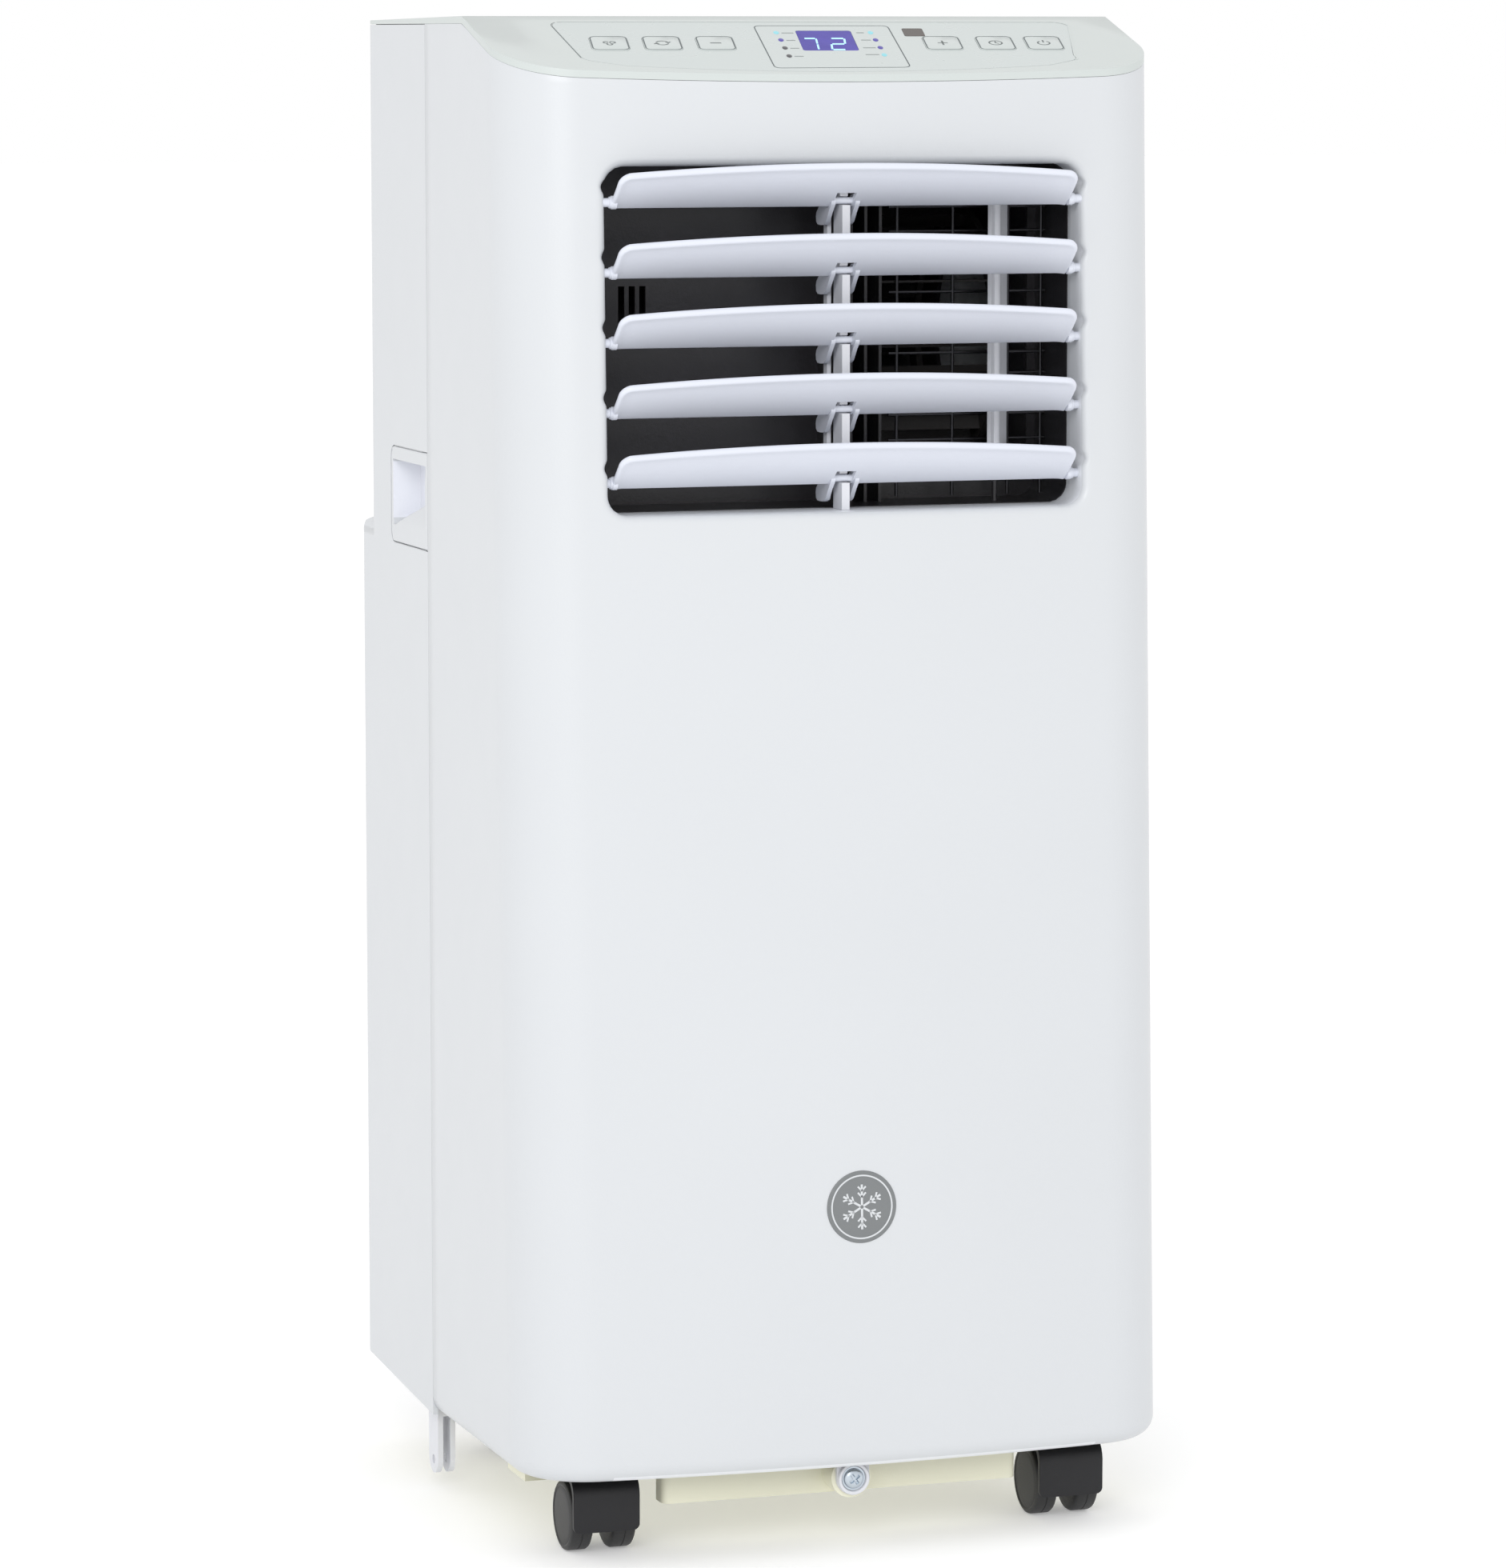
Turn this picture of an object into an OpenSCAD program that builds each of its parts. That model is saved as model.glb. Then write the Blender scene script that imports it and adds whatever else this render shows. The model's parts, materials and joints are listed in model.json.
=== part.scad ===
// Floor-standing portable air conditioner on four twin-wheel casters.
// Millimetres, +Z up, the front faces -Y, the floor is Z = 0 and the box is centred on X and Y.

/* [Body] */
// Overall height
body_h = 692; // [690:0.5:694]
// Overall width
body_w = 310; // [308:1:312]
// Overall depth
body_d = 298; // [297:0.5:299]
// Wall thickness of the moulded shells
wall = 2.5; // [2.2:0.1:2.8]
// Radius of the two front vertical corners
front_r = 36; // [34:1:38]
// How far the middle of the front bows out
bow = 6.4; // [6:0.1:7]
// Lean of the front face, top set back from the foot
lean = 2.17; // [2:0.01:2.3]
// Height of the shell's lower edge over the floor
shell_z = 39; // [38:0.5:40]
// Height of the step in the back
step_z = 454; // [452:1:456]

/* [Control panel] */
// Slope of the control panel
panel_slope = 17; // [16:0.5:18]
// Width of a key
key_w = 17.4; // [16:0.1:18]
// Length of a key down the slope
key_l = 20.4; // [19:0.2:21]
// Gap round each key
key_gap = 0.35; // [0.3:0.05:0.5]
// Key travel
key_travel = 0.8; // [0.6:0.1:0.9]

/* [Louvers] */
// Distance between two louver axes
louver_pitch = 31; // [30.5:0.1:31.5]
// Height of the top louver's axis
louver_top_z = 610.2; // [609.8:0.1:610.6]
// Chord of a louver from its axis to its rim
louver_chord = 25.8; // [25:0.2:26.4]
// Tilt of the louvers above the horizontal
louver_tilt = 40; // [36:1:42]
// Louver pin diameter
louver_pin_d = 4; // [3.6:0.1:4]

/* [Casters] */
// Caster wheel diameter
wheel_d = 32; // [31:0.5:32]
// Half the distance between the front casters
caster_front_x = 112.4; // [112.4:0.1:114]
// Half the distance between the rear casters
caster_rear_x = 88; // [86:1:90]
// Swivel axis of the front casters
caster_front_y = -103.5; // [-105:0.5:-102]
// Swivel axis of the rear casters
caster_rear_y = 100; // [96:1:104]

/* [Ports] */
// Bore of the exhaust collar
exhaust_d = 140; // [136:1:142]
// Height of the exhaust collar's axis
exhaust_z = 365; // [363:1:367]

/* [Hidden] */
$fn = 64;
e = 0.3;
half_w = body_w / 2;
half_d = body_d / 2;
foot_y = -half_d + bow;
seam_y = 21.4;
back_y = 130.5;
ridge_y = -41;
cover_t = 3.4;
cover_z = body_h - cover_t;
back_r = 14;
shoulder_r = 8.4;
out_x = 112.25;
out_z0 = 472;
out_z1 = 626;
out_r = 9;
sleeve_y = -104.6;
pin_y = -118;
ear_x = 4.6;
ear_t = 2;
link_y = 13;
link_z = -8.5;
link_pin_d = 2.4;
blade_x = 108;
blade_r = 6.5;
blade_sag = 5.8;
fit = 0.15;
fan_z = 545;
fan_y = 12;
low_x = 30;
low_z = 190;
pan_x = 85.5;
pan_z = 22;
trail = 5;
hood_z = 11.5;
door_z = 484;
door_y = 127;
drain_x = -104;
comp_x = -82;
comp_y = -34;
gland_x = 130;
drain_z = 426;
guard_y = -79;
vane_x = 82;
vane_y = -92;
vane_turn = 42;
badge_z = 158.9;
screw_z = 31.6;
base_drain_z = 64;
gland_z = 100;
grip_z0 = 446.3;
grip_z1 = 491.7;
plug_y = 141.2;
slant = 0.19;
panel_mid = 42;
key_x = [-98, -73.3, -48.2, 60, 85.6, 109];
bow_r = ((half_w - front_r) * (half_w - front_r) + bow * bow) / (2 * bow);
bow_cy = -bow + bow_r;
corner_cy = bow_cy - sqrt(pow(bow_r - front_r, 2) - pow(half_w - front_r, 2));
caster_at = [[-caster_front_x, caster_front_y], [caster_front_x, caster_front_y],
             [-caster_rear_x, caster_rear_y], [caster_rear_x, caster_rear_y]];

// ---------- shared shapes ----------

// Depth of the front face's corner line at a height
function front_y(z) = foot_y + (z - shell_z) * tan(lean);

// A rounded rectangle between two corners
module round_rect(x0, y0, x1, y1, r) {
    translate([x0 + r, y0]) square([x1 - x0 - 2 * r, y1 - y0]);
    translate([x0, y0 + r]) square([x1 - x0, y1 - y0 - 2 * r]);
    for (x = [x0 + r, x1 - r], y = [y0 + r, y1 - r]) translate([x, y]) circle(r);
}

// Bowed front with tangent round corners, the corner line at y = 0, moved in by a wall
module front_plan(inset) {
    w = half_w - inset;
    r = front_r - inset;
    reach = 1.4 * bow_r;
    tx = reach * (half_w - front_r) / (bow_r - front_r);
    ty = reach * (corner_cy - bow_cy) / (bow_r - front_r);
    intersection() {
        translate([0, bow_cy]) circle(bow_r - inset, $fn = 360);
        polygon([[0, bow_cy], [tx, bow_cy + ty], [-tx, bow_cy + ty]]);
        translate([-w, -20]) square([2 * w, 240]);
    }
    for (s = [-1, 1]) translate([s * (half_w - front_r), corner_cy]) circle(r);
    translate([-w, corner_cy]) square([2 * w, 200]);
}

// The leaning prism that the front shell is cut from
module front_prism(inset) {
    translate([0, foot_y, shell_z]) rotate([-lean, 0, 0]) translate([0, 0, -40])
        linear_extrude(760) front_plan(inset);
}

// A shape drawn in Y and Z, extruded along X
module along_x(x0, x1) {
    translate([x0, 0, 0]) rotate([90, 0, 90]) linear_extrude(x1 - x0) children();
}

// A shape drawn in X and Z, extruded along Y from y0 to y1
module along_y(y0, y1) {
    translate([0, y1, 0]) rotate([90, 0, 0]) linear_extrude(y1 - y0) children();
}

module box(x0, x1, y0, y1, z0, z1) {
    translate([x0, y0, z0]) cube([x1 - x0, y1 - y0, z1 - z0]);
}

module rod_x(x0, x1, y, z, d) {
    translate([x0, y, z]) rotate([0, 90, 0]) cylinder(h = x1 - x0, d = d);
}

module rod_y(x, y0, y1, z, d) {
    translate([x, y0, z]) rotate([-90, 0, 0]) cylinder(h = y1 - y0, d = d);
}

module rod_z(x, y, z0, z1, d) {
    translate([x, y, z0]) cylinder(h = z1 - z0, d = d);
}

// Profile of everything under the top cover's lower face, dropped by d
module under_cover(d) {
    t = tan(panel_slope);
    polygon([[-170, 0], [170, 0], [170, cover_z - d], [ridge_y, cover_z - d],
             [-170, cover_z - d + (-170 - ridge_y) * t]]);
}

// ---------- shells ----------

module front_shell() {
    color("whitesmoke") {
        difference() {
            union() {
                front_wall();
                outlet_return();
            }
            for (i = [0:4]) rod_x(-130, 130, pin_y, louver_top_z - i * louver_pitch,
                                  louver_pin_d + fit);
        }
        screw_tab();
    }
}

// The wall itself, with the outlet and the seat of the badge
module front_wall() {
    difference() {
        intersection() {
            difference() {
                front_prism(0);
                front_prism(wall);
            }
            along_x(-170, 170) under_cover(e);
            box(-170, 170, -170, seam_y - e / 2, shell_z, 700);
        }
        along_y(-170, -60) round_rect(-out_x, out_z0, out_x, out_z1, out_r);
        translate([0, front_y(badge_z) - bow, badge_z]) rotate([90 - lean, 0, 0])
            translate([0, 0, -0.6]) cylinder(h = 4, d = 33.4);
    }
}

// Wall that runs back from the outlet's edge and holds the louver pins
module outlet_return() {
    difference() {
        intersection() {
            front_prism(wall / 2);
            along_y(-170, sleeve_y)
                round_rect(-out_x - 2.2, out_z0 - 2.2, out_x + 2.2, out_z1 + 2.2, out_r + 2.2);
        }
        along_y(-171, sleeve_y + 1) round_rect(-out_x, out_z0, out_x, out_z1, out_r);
    }
}

// Round tab under the front edge that takes the front screw
module screw_tab() {
    difference() {
        union() {
            rod_y(0, -133.6, -131.2, screw_z, 15.4);
            box(-7.7, 7.7, -147.4, -131.2, shell_z, shell_z + wall);
            box(-7.7, 7.7, -133.6, -131.2, screw_z, shell_z + wall);
        }
        rod_y(0, -135, -130, screw_z, 4.4);
    }
}

module rear_lower(inset) {
    intersection() {
        linear_extrude(700)
            round_rect(-half_w + inset, -60, half_w - inset, half_d - inset, back_r - inset);
        along_x(-170, 170) {
            polygon([[-60, shell_z + 8], [seam_y, shell_z + (inset > 0 ? -9 : 0)],
                     [half_d - 5 - inset, shell_z + 8 + (inset > 0 ? -9 : 0)], [half_d - inset, 436],
                     [half_d - inset, step_z - 12], [half_d - 12, step_z - inset],
                     [-60, step_z - inset]]);
            translate([half_d - 12, step_z - 12]) circle(12 - inset);
        }
        along_y(-61, 160)
            round_rect(-half_w + inset, -50, half_w - inset, step_z - inset, shoulder_r - inset);
    }
}

module rear_upper(inset) {
    translate([0, 0, 300]) linear_extrude(cover_z - e - 300 + (inset > 0 ? 9 : 0))
        round_rect(-half_w + inset, -60, half_w - inset, back_y - inset, back_r - inset);
}

module rear_shell() {
    color("whitesmoke") {
        difference() {
            union() {
                rear_lower(0);
                rear_upper(0);
            }
            rear_lower(wall);
            rear_upper(wall);
            box(-170, 170, -170, seam_y + e / 2, 0, 700);
            along_y(120, 140) round_rect(-115, 477.4, 115, 651, 1.2);
            rod_x(-119.6, 119.6, door_y, door_z, 4.8);
            along_y(120, 160) round_rect(-119, 78, 119, 280, 1);
            rod_y(0, 120, 160, exhaust_z, exhaust_d + 10);
            rod_y(drain_x, 120, 160, base_drain_z, 26);
            rod_y(drain_x, 120, 160, drain_z, 26);
            rod_y(gland_x, 120, 160, gland_z, 16.4);
            for (s = [-1, 1]) along_x(s * half_w - 8, s * half_w + 8) grip_outline(e);
        }
        for (s = [-1, 1]) door_lug(s);
        seam_tongue();
    }
}

// Lug with the bore that holds one door pin
module door_lug(s) {
    difference() {
        box(s * 118 - 2, s * 118 + 2, 121, back_y - 1, door_z - 6, door_z + 6);
        rod_x(s * 118 - 3, s * 118 + 3, door_y, door_z, 4 + fit);
    }
}

// Tongue that bridges the seam inside the front shell
module seam_tongue() {
    for (s = [-1, 1]) {
        box(s * 151.5 - 0.7, s * 151.5 + 0.7, seam_y - 6, seam_y + 3, 70, 440);
        box(s * 151.5 - 0.7, s * 151.5 + 0.7, seam_y - 6, seam_y + 3, 500, 670);
        box(s * 152 - 1, s * 152 + 1, seam_y + 1, seam_y + 3, 70, 440);
        box(s * 152 - 1, s * 152 + 1, seam_y + 1, seam_y + 3, 500, 670);
    }
}

// The cover's own outline seen from above
module cover_plan(inset) {
    round_rect(-half_w + inset, -20, half_w - inset, back_y - inset, back_r - inset);
    translate([0, front_y(668)]) intersection() {
        front_plan(inset);
        translate([-170, -60]) square([340, 190]);
    }
}

module panel_frame() {
    translate([0, ridge_y, body_h]) rotate([panel_slope, 0, 0]) children();
}

module top_cover() {
    rise = (-170 - ridge_y) * tan(panel_slope);
    color("whitesmoke") {
        difference() {
            intersection() {
                linear_extrude(800) cover_plan(0);
                along_x(-170, 170)
                    polygon([[-170, body_h + rise], [ridge_y, body_h], [back_y - 12, body_h - 1.6],
                             [back_y + 1, cover_z + 0.8], [back_y + 1, cover_z], [ridge_y, cover_z],
                             [-170, cover_z + rise]]);
            }
            panel_frame() translate([0, 0, -0.9]) linear_extrude(4) overlay_outline(0);
            panel_frame() translate([0, 0, -8]) linear_extrude(10)
                for (i = [0:5]) key_outline(i, key_gap);
        }
        difference() {
            intersection() {
                linear_extrude(800) cover_plan(wall + e);
                along_x(-170, 170) polygon([[-170, cover_z + rise + 1], [ridge_y, cover_z + 1],
                                            [back_y + 1, cover_z + 1], [back_y + 1, cover_z - 7],
                                            [ridge_y, cover_z - 7], [-170, cover_z + rise - 7]]);
            }
            linear_extrude(900) cover_plan(wall + e + 1.6);
        }
    }
}

// ---------- control panel ----------

function arc(cx, cy, r, a0, a1, n) =
    [for (k = [0:n]) let (a = a0 + (a1 - a0) * k / n) [cx + r * cos(a), cy + r * sin(a)]];

// Points of a rounded rectangle centred on the origin
function rounded(w, l, r) = concat(
    arc(w / 2 - r, l / 2 - r, r, 0, 90, 5), arc(-w / 2 + r, l / 2 - r, r, 90, 180, 5),
    arc(-w / 2 + r, -l / 2 + r, r, 180, 270, 5), arc(w / 2 - r, -l / 2 + r, r, 270, 360, 5));

// The panel's graphics lean sideways by the slant
function lean_over(points, x, v) =
    [for (p = points) [x + p[0] + slant * (p[1] + panel_mid - v), p[1] - v]];

module key_outline(i, grow) {
    polygon(lean_over(rounded(key_w + 2 * grow, key_l + 2 * grow, 3 + grow), key_x[i], panel_mid));
}

module overlay_outline(inset) {
    r = 7;
    edge = [for (k = [-8:8]) let (x = k * 12.5) [x, -84 + inset + 9 * x * x / 10000]];
    polygon(concat(edge,
                   arc(117 - r - inset, -69 + r + inset, r, 300, 372, 5),
                   arc(131 - r - inset, -9 - r - inset, r, 10, 90, 5),
                   arc(-117 + r + inset, -9 - r - inset, r, 90, 180, 5),
                   arc(-117 + r + inset, -69 + r + inset, r, 180, 240, 5)));
}

module display_outline(inset) {
    polygon(lean_over(rounded(26.6 - 2 * inset, 30.6 - 2 * inset, 1.5), 5.2, 37.4));
}

module ir_outline(inset) {
    polygon(lean_over(rounded(10 - 2 * inset, 12 - 2 * inset, 1), 48.5, 25));
}

module control_overlay() {
    color("honeydew") panel_frame() translate([0, 0, -0.9]) linear_extrude(0.9) difference() {
        overlay_outline(0.15);
        for (i = [0:5]) key_outline(i, key_gap);
        display_outline(0);
        ir_outline(0);
    }
}

module display_window() {
    color("slateblue") panel_frame() translate([0, 0, -0.9]) linear_extrude(0.8) display_outline(0.1);
}

module ir_window() {
    color("dimgray") panel_frame() translate([0, 0, -0.9]) linear_extrude(1) ir_outline(0.1);
}

// Key cap with its stem down to the switch
module key_cap(i) {
    color("honeydew") panel_frame() {
        translate([0, 0, -2.6]) linear_extrude(2.9) key_outline(i, 0);
        translate([key_x[i], -panel_mid, -9]) cylinder(h = 7, d = 4);
    }
}

module button_fan() { key_cap(0); }
module button_mode() { key_cap(1); }
module button_minus() { key_cap(2); }
module button_plus() { key_cap(3); }
module button_timer() { key_cap(4); }
module button_power() { key_cap(5); }

// Circuit board with six switches and four stand-offs
module key_board() {
    color("darkgreen") panel_frame() {
        translate([-112, -70, -15.6]) cube([236, 58, 1.6]);
        for (i = [0:5]) translate([key_x[i] - 3, -panel_mid - 3, -14]) cube([6, 6, 4]);
        translate([-10, -53, -14]) cube([30, 32, 10.6]);
    }
}

module badge() {
    color("gray") translate([0, front_y(badge_z) - bow, badge_z]) rotate([90 - lean, 0, 0])
        translate([0, 0, -0.6]) cylinder(h = 1, d = 33);
}

// ---------- louvers ----------

module blade_outline(inset) {
    r = (blade_x * blade_x + blade_sag * blade_sag) / (2 * blade_sag);
    difference() {
        intersection() {
            translate([0, louver_chord - inset - r]) circle(r, $fn = 360);
            union() {
                translate([-blade_x + inset, -3.4]) square([2 * (blade_x - inset), 18]);
                round_rect(-blade_x + inset, 0, blade_x - inset, louver_chord - 5 - inset, blade_r);
                translate([-blade_x + blade_r + inset, 5])
                    square([2 * (blade_x - blade_r - inset), louver_chord]);
            }
        }
        translate([-ear_x, -5]) square([2 * ear_x, 13]);
    }
}

module louver(i) {
    color("lavender") translate([0, pin_y, louver_top_z - i * louver_pitch]) {
        rotate([90 - louver_tilt, 0, 0]) {
            translate([0, 1, 0]) rotate([90, 0, 0]) linear_extrude(2) blade_outline(0);
            translate([0, 1.5, 0]) rotate([90, 0, 0]) linear_extrude(3) difference() {
                blade_outline(0);
                blade_outline(2.6);
                translate([-120, -10]) square([240, 14]);
            }
        }
        rod_x(-114.2, -blade_x + 3, 0, 0, louver_pin_d);
        rod_x(blade_x - 3, 114.2, 0, 0, louver_pin_d);
        rod_x(-ear_x - 1, ear_x + 1, 0, 0, 3);
        for (s = [-1, 1]) ear(s);
        rod_x(-ear_x - 1, -2.1, link_y, link_z, link_pin_d);
    }
}

// One ear of a louver, a rounded tab that reaches back and down
module ear(s) {
    x0 = s > 0 ? ear_x : -ear_x - ear_t;
    along_x(x0, x0 + ear_t) {
        polygon([[-2, 1.6], [2, 3], [19, -5], [19, -9], [17, -11], [6, -11], [-2, -2]]);
        circle(2.8);
    }
}

module louver_1() { louver(0); }
module louver_2() { louver(1); }
module louver_3() { louver(2); }
module louver_4() { louver(3); }
module louver_5() { louver(4); }

// Fixed post with one open notch for the cross rod of each louver
module louver_post() {
    color("white") difference() {
        box(-1.9, 1.9, pin_y - 3.2, pin_y + 9, out_z0, out_z1 - 3);
        for (i = [0:4]) {
            z = louver_top_z - i * louver_pitch;
            rod_x(-3, 3, pin_y, z, 3.8);
            box(-3, 3, pin_y - 6, pin_y, z - 1.9, z + 9);
        }
    }
}

// Bar that ties the five left ears together
module louver_link() {
    span = 4 * louver_pitch;
    color("white") translate([0, pin_y + link_y, louver_top_z + link_z]) difference() {
        union() {
            box(-4.3, -2.4, -2.4, 2.4, -span, 0);
            rod_x(-4.3, -2.4, 0, 0, 4.8);
            rod_x(-4.3, -2.4, 0, -span, 4.8);
        }
        for (i = [0:4]) rod_x(-5, -2, 0, -i * louver_pitch, link_pin_d + (i == 0 ? fit : 0.5));
    }
}

// ---------- air outlet ----------

module outlet_duct() {
    color("darkslategray") {
        difference() {
            along_y(sleeve_y + e, -62) round_rect(-114, 470.4, 114, 627.6, out_r + 1.6);
            along_y(sleeve_y - 1, -64) round_rect(-112, 472.3, 112, 625.7, out_r);
            box(14, 108, -66, -60, 482, 618);
            for (k = [0:2]) box(-89 + 5 * k, -86 + 5 * k, -66, -60, 554, 571);
        }
        box(6, 8, -96, -62, out_z0, out_z1);
        for (k = [0:2]) box(16 + 7 * k, 17.4 + 7 * k, -80, -64, out_z0, out_z1);
        rod_z(vane_x, vane_y, out_z0, out_z1, 2.4);
    }
}

module wire_guard() {
    color("black") {
        for (x = [39, 66, 93, 109]) rod_z(x, guard_y, 474.5, 623.5, 1.6);
        for (z = [484, 500, 511.5, 530, 539.6, 567.4, 595, 606])
            rod_x(35, 111, guard_y, z, 1.4);
    }
}

module guide_vane() {
    color("white") difference() {
        union() {
            rod_z(vane_x, vane_y, 493.6, 620.4, 5);
            translate([vane_x, vane_y, 494]) rotate([0, 0, vane_turn]) translate([-6, -0.9, 0])
                cube([16, 1.8, 126]);
            box(vane_x, vane_x + 13, vane_y - 1.5, vane_y + 1.5, 494.4, 498);
        }
        rod_z(vane_x, vane_y, 490, 625, 2.4 + fit);
    }
}

// ---------- heat exchangers and fans ----------

// Finned block with tube bends at both ends
module coil(x0, x1, y0, y1, z0, z1, rows) {
    color("silver") {
        box(x0, x1, y0, y1, z0, z1);
        for (s = [-1, 1]) box(s > 0 ? x1 : x0 - 1.5, s > 0 ? x1 + 1.5 : x0, y0 - 2, y1 + 2, z0, z1);
    }
    ym = (y0 + y1) / 2;
    step = (z1 - z0) / rows;
    color("peru") for (k = [0:rows - 1], s = [-1, 1]) {
        z = z0 + (k + 0.5) * step;
        rod_x(s > 0 ? x1 + 1.5 : x0 - 7.5, s > 0 ? x1 + 7.5 : x0 - 1.5, ym, z, 7);
    }
}

module evaporator() { coil(-112, 112, 90, 114, 474, 650, 8); }
module condenser() { coil(-110, 110, 100, 126, 84, 276, 9); }

// Open wheel of forward blades between a back plate and two rims, its axis along Z
module blower_wheel(r, h, blades) {
    difference() {
        cylinder(h = 2, r = r);
        translate([0, 0, -1]) cylinder(h = 4, d = 4);
    }
    for (z = [0, h - 3]) translate([0, 0, z]) difference() {
        cylinder(h = 3, r = r);
        translate([0, 0, -1]) cylinder(h = 5, r = r - 9);
    }
    for (k = [0:blades - 1]) rotate([0, 0, k * 360 / blades]) translate([r - 8, 0, 1])
        rotate([0, 0, 30]) cube([7.4, 1, h - 2]);
    cylinder(h = 22, d = 18);
}

module upper_blower() {
    color("dimgray") translate([18, fan_y, fan_z]) rotate([0, 90, 0]) blower_wheel(60, 84, 24);
    color("silver") rod_x(-40, 40, fan_y, fan_z, 8);
}

module lower_blower() {
    color("dimgray") translate([low_x, 42, low_z]) rotate([-90, 0, 0]) blower_wheel(72, 42, 24);
    color("silver") rod_y(low_x, 4, 64, low_z, 8);
}

module upper_motor() {
    color("dimgray") difference() {
        union() {
            rod_x(-78, -12, fan_y, fan_z, 84);
            rod_x(-84, -6, fan_y, fan_z, 40);
            box(-60, -30, fan_y - 50, fan_y + 50, 447.3, 505);
        }
        rod_x(-41, 0, fan_y, fan_z, 8 + fit);
    }
}

module lower_motor() {
    color("dimgray") difference() {
        union() {
            rod_y(low_x, -30, 28, low_z, 88);
            rod_y(low_x, -36, 33, low_z, 40);
            box(low_x - 40, low_x + 40, -18, 12, 44.2, 160);
        }
        rod_y(low_x, 3, 40, low_z, 8 + fit);
        box(low_x - 34, low_x + 34, -19, 13, 60, 140);
    }
}

module upper_scroll() {
    color("dimgray") difference() {
        union() {
            rod_x(12, 110, fan_y, fan_z, 142);
            box(12, 110, -61.5, fan_y, 480, 620);
        }
        rod_x(14, 108, fan_y, fan_z, 138);
        box(14, 108, -63, fan_y, 482, 618);
        rod_x(0, 120, fan_y, fan_z, 96);
    }
}

module lower_scroll() {
    color("dimgray") difference() {
        union() {
            rod_y(low_x, 38, 94, low_z, 172);
            box(low_x + 10, 116, 38, 94, low_z, 292);
            box(-80, 116, 38, 126, 290, 440);
            rod_y(0, 125, 142, exhaust_z, exhaust_d + 4);
        }
        rod_y(low_x, 40, 92, low_z, 168);
        box(low_x + 12, 114, 40, 92, low_z, 294);
        box(-78, 114, 40, 124, 292, 438);
        rod_y(0, 120, 150, exhaust_z, exhaust_d);
        rod_y(low_x, 90, 98, low_z, 110);
        rod_y(low_x, 30, 42, low_z, 30);
    }
}

module compressor() {
    color("darkslategray") {
        rod_z(comp_x, comp_y, 70, 270, 108);
        translate([comp_x, comp_y, 270]) rotate_extrude() intersection() {
            translate([0, -46]) circle(71);
            square([54, 40]);
        }
        rod_z(comp_x, comp_y, 290, 306, 12);
        for (a = [0, 120, 240]) translate([comp_x, comp_y, 70]) rotate([0, 0, a]) translate([0, -8, 0])
            cube([62, 16, 3]);
        rod_z(-122, 28, 120, 250, 34);
        box(-124, -104, 0, 28, 150, 156);
    }
}

module compressor_feet() {
    color("black") for (a = [0, 120, 240]) translate([comp_x, comp_y, 44]) rotate([0, 0, a])
        translate([54, 0, 0]) {
            cylinder(h = 26, d = 13);
            cylinder(h = 6, d = 18);
        }
}

// Copper lines between the compressor and the two coils
module refrigerant_pipes() {
    color("peru") {
        rod_z(comp_x, comp_y, 306, 330, 8);
        rod_y(comp_x, comp_y - 4, 30, 334, 8);
        rod_x(-128, -78, 30, 334, 8);
        rod_z(-128, 30, 262, 334, 6);
        rod_z(-122, 28, 252, 262, 8);
        rod_z(-128, 34, 334, 444, 6);
        rod_y(-126, 34, 112, 290, 6);
    }
}

// Tray between the two halves, which also catches the drip of the upper coil
module divider_tray() {
    color("gainsboro") difference() {
        union() {
            box(-128, 128, -98, 122, 444, 462);
            rod_z(drain_x, 112, 418, 446, 16);
            rod_y(drain_x, 112, 141, drain_z, 16);
        }
        box(-125.5, 125.5, -95.5, 119.5, 447, 470);
        rod_z(drain_x, 112, drain_z, 450, 10);
        rod_y(drain_x, 112, 142, drain_z, 10);
    }
}

module base_pan() {
    color("beige") difference() {
        union() {
            box(-148, 148, -112, 74, 41, 62);
            box(-148, 148, 60, 136, 49, 62);
            box(-pan_x, pan_x, -104, 58, 33, 44);
            translate([0, 0, pan_z]) linear_extrude(44 - pan_z) round_rect(-pan_x, -117, pan_x, -103, 4);
            rod_y(0, -131, -115, screw_z, 19);
            for (s = [-1, 1]) box(s * 128 - 10, s * 128 + 10, -74, -46, 27, 42);
            for (c = caster_at) rod_z(c[0], c[1], 41, 60, 18);
            rod_y(drain_x, 130, 141, base_drain_z, 16);
            box(drain_x - 8, drain_x + 8, 133, 136, 49, base_drain_z + 8);
        }
        difference() {
            union() {
                box(-145, 145, -109, 71, 44, 70);
                box(-145, 145, 70, 133, 52, 70);
            }
            for (c = caster_at) rod_z(c[0], c[1], 41, 60, 18);
        }
        box(-pan_x + 2.5, pan_x - 2.5, -112, 55.5, 35.5, 41);
        box(-pan_x + 4, pan_x - 4, -114.5, -105.5, pan_z + 2.5, 41);
        box(-60, 60, 20, 52, 38, 46);
        for (c = caster_at) rod_z(c[0], c[1], 30, 70, 12);
        rod_y(drain_x, 120, 150, base_drain_z, 10);
        rod_y(0, -140, -120, screw_z, 3.2);
    }
}

module control_box() {
    color("gainsboro") difference() {
        box(20, 138, -122, -64, 120, 330);
        box(22, 136, -120, -66, 122, 340);
        box(30, 128, -130, -119, 140, 310);
    }
    color("darkgreen") box(26, 132, -72, -70, 130, 320);
}

module run_capacitor() {
    color("gainsboro") {
        rod_z(118, -20, 44, 118, 40);
        rod_z(110, -20, 118, 124, 5);
        rod_z(126, -20, 118, 124, 5);
    }
}

// ---------- back of the machine ----------

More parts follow.
